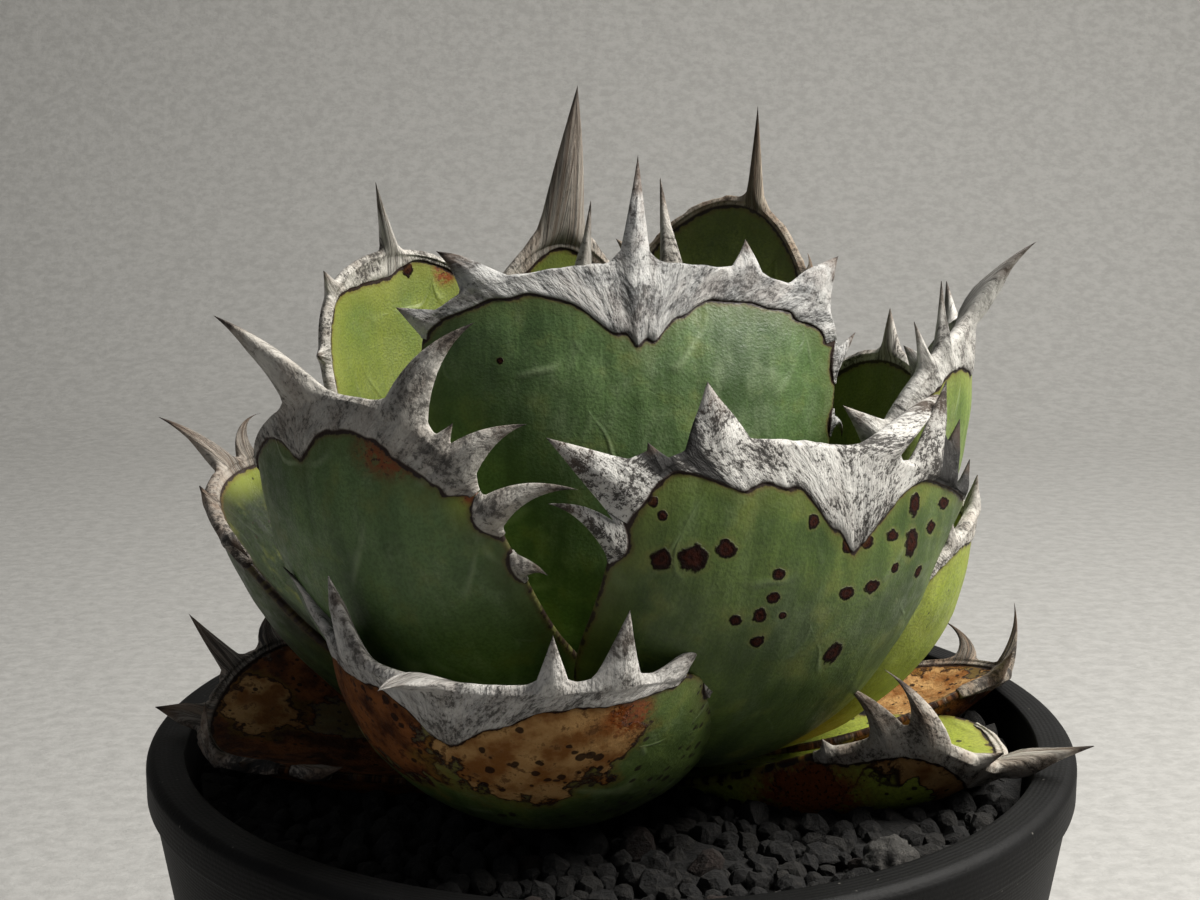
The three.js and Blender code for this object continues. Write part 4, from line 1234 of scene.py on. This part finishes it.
# The shapes of the leaves, from the growing point outwards.
FORMS: tuple[LeafForm, ...] = (
    LeafForm(-26, (2, 122), (1, 155), (86, 92), 10, (60, 60),
             ((-10, 0.5), (0, 3), (10, 0.5)),
             (Spur(0, 8, 2.5),),
             root_width=8, broad_at=0.5, blunt=2, thick=3.5, fine=False),
    LeafForm(-79, (5, 120), (3, 161), (75, 96), 22, (75, 60),
             ((-18, 0.5), (-11.5, 1.6), (0, 5), (11.5, 1.6), (18, 0.5)),
             (Spur(0, 12, 3),),
             aside=-5, root_width=12, blunt=2.5, thick=5, fine=False),
    LeafForm(60, (5, 119), (6, 163), (70, 98), 24, (75, 60),
             ((-18, 0.5), (-11.5, 1.6), (0, 5), (11.5, 1.6), (18, 0.5)),
             (Spur(0, 13, 3.5),),
             aside=5, root_width=13, blunt=2.5, thick=5, fine=False),
    LeafForm(-156, (6, 117), (17, 167), (50, 106), 30, (55, 35),
             ((-26, 0.5), (-6, 1.5), (0, 0.9), (6, 1.8), (26, 0.5)),
             (Spur(0, 20, 7.5, lean=-6, lift=15, core=0.4),),
             blunt=1.5, thick=6, inside=1.8, edge=0.4),
    LeafForm(149, (7, 115), (39, 170), (30, 96), 48, (55, 35),
             ((-34, 0.5), (-8, 0.7), (0, 1.4), (8, 0.7), (30, 0.5)),
             (Spur(0, 13.5, 2.8, lean=16), Spur(-14, 4, 2.5, lean=30, hook=40), Spur(20, 4, 3),
              Spur(28, 4, 3)),
             lean=-20, broad_at=0.5, blunt=1.1, inside=0.7, edge=0.35),
    LeafForm(6, (7, 114), (20, 168), (20, 116), 52, (62, 30),
             ((-28, 0.6), (-22, 2.3), (-14.5, 2.8), (-3, 8.8), (0.5, 9.6), (4, 8.6), (11, 4.5),
              (23, 4.3), (28.8, 1.8)),
             (Spur(0, 14, 4, lean=5, lift=-5), Spur(-26, 5.2, 2.8, core=0.65),
              Spur(-17.5, 8, 5, lean=-28, hook=-10, core=0.6), Spur(13.5, 4.2, 4.5, lean=4, hook=-10),
              Spur(22.5, 7.5, 5.5, lean=-5, hook=15, core=0.6),
              Spur(31.8, 5.7, 2.8, lean=-52, core=0.6), Spur(40, 3.5, 2, lean=-30, hook=70)),
             aside=0.6, broad_at=0.72, blunt=7),
    LeafForm(-136, (7, 112), (43, 163.5), (20, 98), 34, (55, 35),
             ((-34, 0.5), (-5, 0.8), (2, 3.4), (8, 2.8), (13, 1), (34, 0.5)),
             (Spur(0, 10.5, 2.6, lean=20, core=0.5), Spur(-24, 3.5, 3), Spur(13, 4, 3),
              Spur(23, 4, 3)),
             aside=1.5, blunt=5, inside=3.4, edge=0.4),
    LeafForm(76, (8, 110), (44, 160), (12, 88), 44, (55, 35),
             ((-34, 0.5), (-24, 2.4), (-12, 3), (0, 6), (12, 2.6), (28, 0.5)),
             (Spur(0, 12.5, 5, lift=38, core=0.5), Spur(-26, 8, 4, lean=20, core=0.6),
              Spur(-15, 6.5, 2.6), Spur(-11, 8, 2.8, lean=10), Spur(14, 6, 4), Spur(24, 5, 4))),
    LeafForm(-46, (8, 108), (47, 154.5), (5, 97), 48, (60, 35),
             ((-22, 0.5), (-10, 2), (-1, 6), (5.5, 3), (13, 3), (18, 3.4), (23.5, 2.4), (25.2, 0.6)),
             (Spur(0, 13.5, 6.5, lean=-20, lift=40, core=0.55),
              Spur(14.5, 12.5, 5.5, lean=-12, hook=27, core=0.5),
              Spur(22, 8.5, 4.5, lean=-6, hook=22), Spur(19.2, 2, 1.2, core=0.6),
              Spur(27.7, 9.5, 2.4, lean=-14, hook=30, core=0.75),
              Spur(34, 3, 1.8, lean=20, hook=30, core=0.7)),
             lean=-16, broad_at=0.5, blunt=3.6),
    LeafForm(176, (8, 107), (46, 150), (5, 95), 48, (60, 35),
             ((-32, 0.5), (-11.5, 3.2), (0, 7), (11.5, 3.2), (32, 0.5)),
             (Spur(0, 12, 4, lift=15), Spur(-27, 7, 5), Spur(-16, 7, 6), Spur(14, 6, 6),
              Spur(25, 8, 5)),
             broad_at=0.66, blunt=5, fine=False),
    LeafForm(39, (8, 106), (46, 149), (5, 95), 58, (60, 35),
             ((-32.6, 0.5), (-30, 1), (-26, 0.9), (-21, 4.8), (-13.5, 4.4), (-8.5, 9.2), (-3.5, 9.8),
              (11.5, 0.9), (24, 0.5)),
             (Spur(0, 20.5, 5.5, lean=52, hook=8, lift=-10, core=0.55),
              Spur(-34.8, 7.8, 2.1, lean=36, hook=-25, core=0.75),
              Spur(-30, 10.5, 4.5, lean=-8, core=0.7), Spur(-26.5, 2.2, 1.6, core=0.7),
              Spur(-20, 6.3, 5.5, lean=-5, core=0.65), Spur(10, 10.5, 5, core=0.75),
              Spur(15, 7.5, 4, core=0.8), Spur(21, 5, 2.6, core=0.6)),
             lean=17, broad_at=0.66, blunt=6),
    LeafForm(-98, (8, 105), (51, 138), (0, 66), 41, (55, 38),
             ((-24, 0.5), (-10, 1.2), (0, 3.5), (8, 1.5), (24, 0.5)),
             (Spur(0, 11, 3.8, lift=35), Spur(-5, 7, 2.6, lean=25, hook=-70, core=0.6),
              Spur(-18, 5, 4), Spur(12, 2.5, 2), Spur(20, 5, 3, lean=10, hook=60)),
             roll=9, blunt=3.5, inside=1.2),
    LeafForm(124, (8, 104.5), (47, 150), (6, 94), 36, (52, 35),
             ((-28, 0.5), (-11.5, 1.76), (0, 5), (11.5, 1.76), (28, 0.5)),
             (Spur(0, 6, 3.5), Spur(-22, 4, 4), Spur(-13, 6, 4), Spur(13, 5, 4), Spur(23, 5, 4)),
             blunt=3, fine=False),
    LeafForm(-21, (8, 103), (52.5, 127), (5, 70), 60, (58, 72),
             ((-31, 0.6), (-20, 3), (-8, 2), (1.5, 7), (8, 5), (14, 2.6), (22, 3), (29, 1.2)),
             (Spur(0, 7, 4.5, lean=-40, lift=60, core=0.6), Spur(-33, 6, 4),
              Spur(-22, 10, 4, lean=-35, hook=20, lift=30, core=0.6),
              Spur(-13, 10, 6, lean=-10, hook=10, core=0.6), Spur(13, 6.5, 4),
              Spur(20, 8.5, 5, core=0.55), Spur(27, 5.5, 4, lean=25, hook=20, core=0.6),
              Spur(37.5, 7, 3.2, lean=30, hook=-70, lift=40, core=0.85)),
             lean=-2, roll=5),
    LeafForm(-149, (8, 103), (51, 129), (-2, 72), 44, (58, 45),
             ((-32, 0.5), (-11.5, 3.2), (0, 6), (11.5, 3.2), (32, 0.5)),
             (Spur(0, 9, 4, lift=30), Spur(-27, 7, 5), Spur(-15, 6, 5), Spur(14, 6, 5),
              Spur(26, 7, 5)),
             fine=False),
    LeafForm(78, (8, 102.5), (45.5, 136), (14, 82), 42, (55, 35),
             ((-38, 0.5), (-12, 1), (0, 3), (12, 1), (26, 0.5)),
             (Spur(0, 4.5, 3), Spur(-38, 3.5, 2.4), Spur(-30, 4, 2.6), Spur(-20, 5, 3),
              Spur(-11, 4, 3), Spur(14, 5, 4), Spur(24, 5, 4)),
             blunt=3.5, thick=5.5),
    LeafForm(161, (8, 101.5), (53, 120), (-7, 60), 40, (58, 45),
             ((-30, 0.5), (-11.5, 3.2), (0, 6), (11.5, 3.2), (30, 0.5)),
             (Spur(0, 9, 4, lift=30), Spur(-25, 7, 5), Spur(-14, 6, 5), Spur(14, 6, 5),
              Spur(25, 7, 5)),
             fine=False),
    LeafForm(106, (8, 100.5), (56.5, 107.5), (-8, 30), 27, (45, 40),
             ((-18, 0.5), (-8, 1.6), (0, 3), (8, 1.6), (18, 0.5)),
             (Spur(0, 9, 3, lift=-50), Spur(-11, 5, 4), Spur(8.5, 9, 3.6, hook=40)),
             roll=14, blunt=3, thick=4.5),
    LeafForm(71, (8, 99.5), (51, 105.5), (-5, 20), 34, (55, 48),
             ((-31, 0.5), (-26, 1.6), (-14, 2), (-3, 4), (6, 2), (16, 0.5)),
             (Spur(0, 11.5, 3, core=0.8), Spur(-29, 1.8, 2.4),
              Spur(-20.5, 9.5, 4, hook=-35, core=0.6),
              Spur(-15.5, 11.5, 4.5, lean=-12, hook=-40, core=0.65), Spur(-7, 3, 3)),
             roll=17, blunt=4, thick=8),
    LeafForm(-86, (8, 101), (53, 107), (-8, 15), 38, (40, 37),
             ((-25, 0.5), (-8, 1.4), (0, 3), (7, 1.4), (15, 2), (23, 0.5)),
             (Spur(0, 6, 3.5, core=0.8), Spur(-17.5, 6.5, 3.5, lean=5, hook=-45),
              Spur(-11, 10, 4, lean=-15), Spur(13, 8, 3.5, lean=20, lift=-60, core=0.6),
              Spur(19, 2, 2), Spur(27, 5.5, 2.6, lean=45, core=0.8)),
             roll=13, blunt=3, thick=5),
)

# The rest goes by the leaf's number, where it isn't as usual.
TONES: dict[int, Tone] = {
    **dict.fromkeys((2, 3, 4, 5, 11, 14), Tone.GREEN),
    **dict.fromkeys((7, 8), Tone.FRESH),
    # Leaves 16 and 19 get a tone made lighter as painted light.
    **dict.fromkeys((16, 19), Tone.LIME_PAINTED_LIGHT),
    **dict.fromkeys((18, 20), Tone.AGED),
    # Leaf 12's colours are darkened as painted shade.
    12: Tone.PAINTED_SHADE,
}
# Little wax on leaf 12 keeps pale smears off its painted shade.
WAX: dict[int, float] = {4: 0.4, 5: 0.4, 7: 0.6, 11: 0.45, 12: 0.2, 16: 0.2, 19: 0.2}
FRECKLES: dict[int, float] = {12: 0.5, 14: 1.3, 16: 0.4, 18: 1.0, 19: 1.0, 20: 0.9}

SCAR, TAN, BROWN, ALIVE, RUST, GLOW = Blemish
# Marks of each leaf, by ovals that were set against the photograph.
MARKS: dict[int, tuple[Mark, ...]] = {
    6: (Mark(SCAR, -15.6, 52.4, 0.35, 0.35), Mark(SCAR, 19, 40, 0.4, 0.4)),
    7: (Mark(SCAR, -2.7, 66.6, 0.8, 0.9, True), Mark(RUST, -8.8, 66, 2, 2.2, True)),
    9: (Mark(RUST, 13, 62.6, 5, 2.8), Mark(GLOW, 20.3, 57.6, 2.2, 2.6),
        Mark(RUST, 20.8, 57.8, 1.6, 1.6)),
    11: tuple(Mark(SCAR, *oval) for oval in (
        (-23.9, 51.9, 1.0, 0.85), (-20.8, 52.6, 1.3, 1.05), (-17.5, 53.9, 0.9, 0.75),
        (-11.2, 52.1, 0.65, 0.5), (-11.2, 49.8, 0.6, 0.5), (-14.7, 47.3, 0.55, 0.5),
        (-12.2, 48, 0.7, 0.6), (-9.6, 48.1, 0.4, 0.35), (-11.6, 45.2, 0.65, 0.55),
        (-2, 50.3, 0.85, 0.65), (1.7, 50.6, 0.95, 0.65), (-8, 57.3, 0.6, 0.6),
        (-2.8, 55.2, 0.8, 0.7), (-0.2, 55.6, 0.8, 0.6), (3.8, 56.3, 0.9, 0.6),
        (7.5, 60.1, 0.9, 1.3), (14.8, 60.5, 1.4, 0.8), (7.7, 55.3, 1.1, 1.5), (-1.3, 43, 1.0, 1.2),
        (-26, 56.9, 0.45, 0.4), (-24.8, 55.8, 0.45, 0.4), (10.5, 51, 0.8, 0.7), (12, 57, 0.9, 0.8),
        (5, 52.5, 0.6, 0.5)
    )),
    # On leaf 12 the yellowish mark is painted light: the top strip of its inner face, out of the
    # painted shade.
    12: (Mark(GLOW, -3, 56.5, 7, 2.6, True),),
    14: (
        Mark(TAN, 9.5, 46, 9.5, 8), Mark(TAN, 13.5, 50, 6.5, 3.5), Mark(BROWN, -10, 47, 9, 9),
        Mark(BROWN, -20, 42, 5.5, 10), Mark(RUST, 20, 47, 3, 3), Mark(GLOW, 4, 53, 18, 4, True),
        Mark(RUST, 2, 54, 12, 1.4, True),
    ),
    16: (Mark(GLOW, -15, 20, 12, 18),),
    18: (Mark(TAN, 0, 34, 12, 16, True), Mark(BROWN, 0, 30, 15, 26), Mark(BROWN, 9, 36, 6, 20, True)),
    19: (
        Mark(TAN, -9, 38, 10, 6.5), Mark(TAN, -1, 40, 7, 6), Mark(ALIVE, -8, 31.5, 5, 5),
        Mark(BROWN, -13, 23, 3.5, 4.5), Mark(RUST, -11, 22, 8, 8), Mark(RUST, -8, 26, 8, 9, True),
    ),
    20: (
        Mark(BROWN, 0, 28, 24, 24), Mark(BROWN, 0, 28, 24, 26, True), Mark(TAN, -3, 38.5, 6, 5, True),
        Mark(ALIVE, -4, 27, 5, 5, True), Mark(TAN, 6, 33, 5, 6),
    ),
}

# Sooty places of the horn: where along the margin, how far to each side and how strong.
SOOT: dict[int, tuple[tuple[float, float, float], ...]] = {
    6: ((32, 3, 0.4), (0, 2, 0.15)),
    9: ((25, 4, 0.2),),
    11: ((-26.3, 1.2, 1.0), (-23, 1.8, 0.8), (-30, 2, 0.2), (0, 3, 0.3), (13, 3, 0.8), (19, 4, 1.0)),
    12: ((-20, 5, 0.5), (20, 4, 0.6)),
    14: ((-28, 5, 0.2),),
    18: ((0, 18, 0.5),),
    20: ((-14, 9, 0.55), (20, 8, 0.6)),
}
HORNS: dict[int, DeadHorn] = {
    4: DeadHorn(brown=0.5, pale="b3aba0", char=0.5),
    5: DeadHorn(pale="a59b8c", grey="6a5d4d", brown=0.6, speckle=0.2),
    6: DeadHorn(pale="bbbab7", grey="727373", brown=0.2, speckle=0.25, char=0.8, folds=1.4),
    8: DeadHorn(pale="c8c6c0", grey="8b8883", brown=0.1, speckle=0.2),
    9: DeadHorn(pale="bab6ae", grey="7e7a73", brown=0.2, speckle=0.15, char=0.5, folds=1.6),
    11: DeadHorn(pale="cccac5", grey="918e89", brown=0.08, speckle=1.0, char=0.5, pore=0.42),
    12: DeadHorn(pale="a59d93", grey="5f574f", brown=0.5, speckle=0.4, char=0.8),
    14: DeadHorn(pale="cdcac5", grey="7b7873", brown=0.12, speckle=0.2, char=0.3, folds=2.4),
    18: DeadHorn(pale="8d8376", grey="4c4238", brown=0.6, speckle=0.4, char=0.95),
    19: DeadHorn(pale="bab4aa", grey="736c62", brown=0.4, speckle=0.4, char=0.6),
    20: DeadHorn(pale="9b9287", grey="5a5148", brown=0.55, speckle=0.5, char=0.9),
}


@dataclass
class Rosette:
    """The leaves, from the growing point outwards."""

    forms: tuple[LeafForm, ...] = FORMS
    old_from: int = 18  # the first of the old leaves, which hang low and are drying

    def leaf(self, number: int, form: LeafForm) -> Leaf:
        """Describes one leaf.

        Args:
            number: its place in the order in which they grew, from the youngest.
            form: its shape.

        Returns:
            The leaf.
        """
        skin = WaxyLeafSkin(TONES.get(number, Tone.GLAUCOUS), MARKS.get(number, ()),
                            FRECKLES.get(number, 0.0), WAX.get(number, 1.0), number)
        horn = replace(HORNS.get(number, DeadHorn()), seed=number)
        slot = "old_leaf" if number >= self.old_from else "leaf"
        return Leaf(number, form, skin, horn, SOOT.get(number, ()), slot)

    def build(self) -> None:
        """Makes every leaf."""
        for number, form in enumerate(self.forms, 1):
            self.leaf(number, form).build()


# --- Pot and grit ---------------------------------------------------------------------------------


@dataclass
class Pot:
    """The round tapered pot, in millimetres."""

    rim_radius: float = 60.0
    height: float = 105.0
    rim_width: float = 5.0
    rim_round: float = 1.6
    band_height: float = 5.5
    band_step: float = 0.5
    taper: float = math.radians(9)
    floor: float = 4.0
    foot_round: float = 1.5
    groove: float = 0.25  # under the band
    lip_round: float = 0.5  # inner edge of the rim
    rings: tuple[float, ...] = (10.0, 30.0)  # rings of points in the floor
    hole_radius: float = 4.0
    hole_circle: float = 22.0
    holes: int = 5
    drill: tuple[float, float] = (-6.0, 10.0)  # heights between which the holes are drilled
    segments: int = 240

    @staticmethod
    def arc(x: float, z: float, radius: float, start: float, end: float,
            count: int = 7) -> list[tuple[float, float]]:
        """Points of a round edge in the profile, between two angles in degrees."""
        turns = np.radians(np.linspace(start, end, count))
        return [(x + radius * math.cos(t), z + radius * math.sin(t)) for t in turns]

    def profile(self) -> list[tuple[float, float]]:
        """Draws the outline that is turned.

        Returns:
            Radius and height of its points, from the middle below round to the floor.
        """
        top, slope = self.height, math.tan(self.taper)
        side_top, side = top - self.band_height, self.rim_radius - self.band_step
        foot, inner = side - side_top * slope, self.rim_radius - self.rim_width
        low_inner = inner - (top - self.floor) * slope
        points = [(0.0, 0.0), *((r, 0.0) for r in self.rings), (foot - self.foot_round, 0.0)]
        points += self.arc(foot - self.foot_round, self.foot_round, self.foot_round, -80, 0)
        for share in np.linspace(0.02, 1, 40):
            z = mix(self.foot_round, side_top - self.groove, share)
            points.append((foot + (z - self.foot_round) * slope, z))
        points += [(side - self.groove, side_top - 0.1), (side - self.groove, side_top + 0.2)]
        points += self.arc(self.rim_radius - 0.4, side_top + 0.6, 0.4, -80, 0, 4)
        flat_from, flat_to = self.rim_radius - self.rim_round, inner + self.lip_round
        points += self.arc(flat_from, top - self.rim_round, self.rim_round, 0, 90)
        points += [(mix(flat_from, flat_to, s), top) for s in (0.25, 0.5, 0.75)]
        points += self.arc(flat_to, top - self.lip_round, self.lip_round, 90, 180, 5)
        for share in np.linspace(0.05, 1, 20):
            points.append((mix(inner, low_inner, share), mix(top - self.lip_round, self.floor, share)))
        return points + [(r, self.floor) for r in (*self.rings[::-1], 0.0)]

    def build(self) -> None:
        """Turns the pot, drills its floor and dresses it."""
        profile = np.array(self.profile())
        turns = np.linspace(0, math.tau, self.segments, endpoint=False)[:, None]
        radius, height = profile[:, 0], np.broadcast_to(profile[:, 1], (self.segments, len(profile)))
        points = np.stack([radius * np.cos(turns), radius * np.sin(turns), height], -1)
        surface = Surface()
        surface.add_grid(points, (True, False))
        pot = surface.make("pot_body", weld=0.001)
        drill = Surface()
        ring = np.linspace(0, math.tau, 32, endpoint=False)
        for i in range(self.holes):
            turn = (i + 0.5) / self.holes * math.tau
            x, y = self.hole_circle * math.cos(turn), self.hole_circle * math.sin(turn)
            (low, high), hole = self.drill, self.hole_radius
            rims = []
            for r, z in ((0, low), (hole, low), (hole, high), (0, high)):
                rims.append(np.stack([x + r * np.cos(ring), y + r * np.sin(ring), 0 * ring + z], -1))
            drill.add_grid(np.stack(rims), (False, True))
        cutter = drill.make("drill", weld=0.001)
        cut = pot.modifiers.new("drain_holes", "BOOLEAN")
        cut.object, cut.operation, cut.solver = cutter, "DIFFERENCE", "EXACT"
        drilled = pot.evaluated_get(bpy.context.evaluated_depsgraph_get())
        shaped = bpy.data.meshes.new_from_object(drilled)
        pot.modifiers.clear()
        pot.data = shaped
        bpy.data.objects.remove(cutter)
        settle(pot, ("pot",), "pot", MattPlastic().build("matt_black_plastic"))


@dataclass
class Grit:
    """The loose grit on top of the soil, with one larger pebble. Millimetres."""

    bed: float = 99.3
    reach: float = 53.6
    large: tuple[float, float] = (1.4, 2.5)  # half the size of the stones that are laid first
    small: tuple[float, float] = (1.0, 1.5)  # and of those that fill in
    tries: tuple[int, int] = (20000, 40000)
    apart: float = 0.78  # least distance of two stones, as a share of their half sizes together
    grains: int = 1500
    pebble: Place = (32.0, -38.0, 4.0)  # where it lies, and half its size
    stretch: tuple[float, float] = (0.7, 1.15)
    breaks: int = 5
    break_at: tuple[float, float] = (0.55, 0.85)  # how far out the flat breaks lie, as shares
    lumpy: float = 0.22
    seed: int = 5

    def stone(self, centre: Vector, radius: float, fineness: int,
              rng: np.random.Generator) -> tuple[Array, Array]:
        """One stone with a broken, lumpy outline.

        Args:
            centre: its middle.
            radius: about half its size.
            fineness: how finely the ball that it is made from is divided.
            rng: where its form is drawn from.

        Returns:
            Its points and its three-sided faces.
        """
        ball = bmesh.new()
        bmesh.ops.create_icosphere(ball, subdivisions=fineness, radius=1.0)
        points = np.array([v.co for v in ball.verts])
        faces = np.array([[v.index for v in f.verts] for f in ball.faces])
        ball.free()
        axes, _ = np.linalg.qr(rng.normal(size=(3, 3)))
        points = points * rng.uniform(*self.stretch, 3) @ axes.T
        for _ in range(self.breaks):
            way = rng.normal(size=3)
            way /= np.linalg.norm(way)
            flat = rng.uniform(*self.break_at)
            past = np.clip(points @ way - flat, 0, None)
            points = points - past[:, None] * way * 0.9
        shift = Vector(rng.uniform(-50, 50, 3))
        coarse, fine = (
            np.array([noise.noise(Vector(p) * scale + shift) for p in points]) for scale in (2.2, 5)
        )
        points = points * (1 + self.lumpy * (coarse + 0.8 * fine))[:, None]
        return points * radius + np.array(centre), faces

    def build(self) -> None:
        """Scatters the stones by a seeded rule and dresses them."""
        rng = np.random.default_rng(self.seed)
        x, y, size = self.pebble
        placed: list[Place] = [(x, y, size * 0.8)]
        points, faces, shades, count = [], [], [], 0
        tries = 0
        while len(placed) <= self.grains and tries < sum(self.tries):
            tries += 1
            size = rng.uniform(*(self.large if tries < self.tries[0] else self.small))
            away = (self.reach - size) * math.sqrt(rng.uniform(0.03, 1))
            turn = rng.uniform(0, math.tau)
            x, y = away * math.cos(turn), away * math.sin(turn)
            near = ((x - a) ** 2 + (y - b) ** 2 < (self.apart * (size + c)) ** 2 for a, b, c in placed)
            if any(near):
                continue
            placed.append((x, y, size))
            z = self.bed + rng.uniform(-0.4, 1.0) + 0.3 * size
            stone, sides = self.stone(Vector((x, y, z)), size, 2, rng)
            points.append(stone)
            faces.append(sides + count)
            shades.append(np.full(len(stone), rng.uniform()))
            count += len(stone)
        surface = Surface([np.concatenate(points)], [np.concatenate(faces)])
        surface.values["shade"] = [np.concatenate(shades)[:, None]]
        grit = surface.make("grit_grains", smooth=False)
        settle(grit, (), "grit", LavaGrit().build("crushed_lava"))
        x, y, size = self.pebble
        stone, sides = self.stone(Vector((x, y, self.bed + 2.2)), size, 4, rng)
        surface = Surface([stone], [sides])
        surface.values["shade"] = [np.full((len(stone), 1), 0.9)]
        grey = LavaGrit(dark="2b2a28", light="3f3d3a", pore="66635e").build("grey_lava")
        settle(surface.make("grey_pebble"), (), "grit", grey)
        dress(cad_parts["soil"], LavaGrit(light="0f0e0d").build("lava_dust"))
        dress(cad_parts["stem"], WaxyLeafSkin(Tone.GREEN).build("stem_skin"))


# --- Studio ---------------------------------------------------------------------------------------


@dataclass
class Studio:
    """Camera, light, floor and wall round the object. Metres and degrees."""

    camera_place: Place = (0.0, -0.260, 0.1986)
    pitch: float = 12.3
    yaw: float = 0.32
    lens: float = 62.4
    floor_near: float = -3.0
    wall: float = 0.95
    cove: float = 0.3
    reach: float = 3.0
    sky: float = 0.08

    def camera(self) -> None:
        """Sets up the camera at the photograph's place and angle."""
        data = bpy.data.cameras.new("camera")
        data.lens, data.sensor_width = self.lens, 36.0
        data.clip_start, data.clip_end = 0.01, 20.0
        camera = bpy.data.objects.new("camera", data)
        camera.location = self.camera_place
        camera.rotation_euler = (math.radians(90 - self.pitch), 0.0, math.radians(self.yaw))
        bpy.context.scene.collection.objects.link(camera)
        bpy.context.scene.camera = camera

    def lamp(self, name: str, place: Place, aim: Place, size: float, power: float, tint: str) -> None:
        """Adds a soft square lamp.

        Args:
            name: its name.
            place: where it hangs.
            aim: the point that it faces.
            size: its side.
            power: its power in watts.
            tint: sRGB hex colour of its light.
        """
        data = bpy.data.lights.new(name, "AREA")
        data.size, data.energy = size, power
        data.color = linear(tint)[:3]
        lamp = bpy.data.objects.new(name, data)
        lamp.location = place
        lamp.rotation_euler = (Vector(aim) - Vector(place)).to_track_quat("-Z", "Y").to_euler()
        bpy.context.scene.collection.objects.link(lamp)

    def room(self) -> None:
        """Makes the floor, which runs up into a wall in a wide cove."""
        turns = np.radians(np.linspace(0, 90, 25))
        bend_y, bend_z = self.cove * (1 - np.sin(turns)), self.cove * (1 - np.cos(turns))
        y = np.concatenate([[self.floor_near], self.wall - bend_y, [self.wall]])
        z = np.concatenate([[0.0], bend_z, [self.reach]])
        x = np.array([[-self.reach], [self.reach]])
        sheet = Surface()
        sheet.add_grid(np.stack(np.broadcast_arrays(x, y, z), -1) / MM, (False, False))
        piece = sheet.make("floor_and_wall")
        piece.data.materials.append(PlainPaint().build("wall_paint"))
        piece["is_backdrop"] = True

    def build(self) -> None:
        """Makes the room, the lamps, the surrounding light and the camera."""
        self.room()
        plant, wall = (0.0, 0.0, 0.13), (0.15, self.wall, 0.45)
        self.lamp("key", (0.42, -0.06, 0.6), plant, 0.3, 8.2, "fffcf6")
        self.lamp("fill", (-0.5, -0.6, 0.5), plant, 0.9, 0.6, "f0f4ff")
        self.lamp("back", (0.15, 0.3, 0.75), plant, 0.5, 1.3, "ffffff")
        self.lamp("wash", (0.5, 0.4, 1.0), wall, 0.5, 5.0, "fffcf6")
        world = bpy.data.worlds.new("studio")
        world.use_nodes = True
        sky = world.node_tree.nodes["Background"]
        sky.inputs[0].default_value = linear("dcdedf")
        sky.inputs[1].default_value = self.sky
        bpy.context.scene.world = world
        bpy.context.scene.view_settings.view_transform = "Standard"
        self.camera()


def main() -> None:
    """Builds the object and its studio."""
    logging.basicConfig(level=logging.INFO, format="%(name)s: %(message)s")
    cad_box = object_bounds()
    Studio().build()
    Pot().build()
    Grit().build()
    Rosette().build()
    bpy.context.view_layer.update()
    boxes = {"cad": cad_box, "visual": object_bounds()}
    {name: [list(corner) for corner in box] for name, box in boxes.items()}


if __name__ == "__main__":
    main()
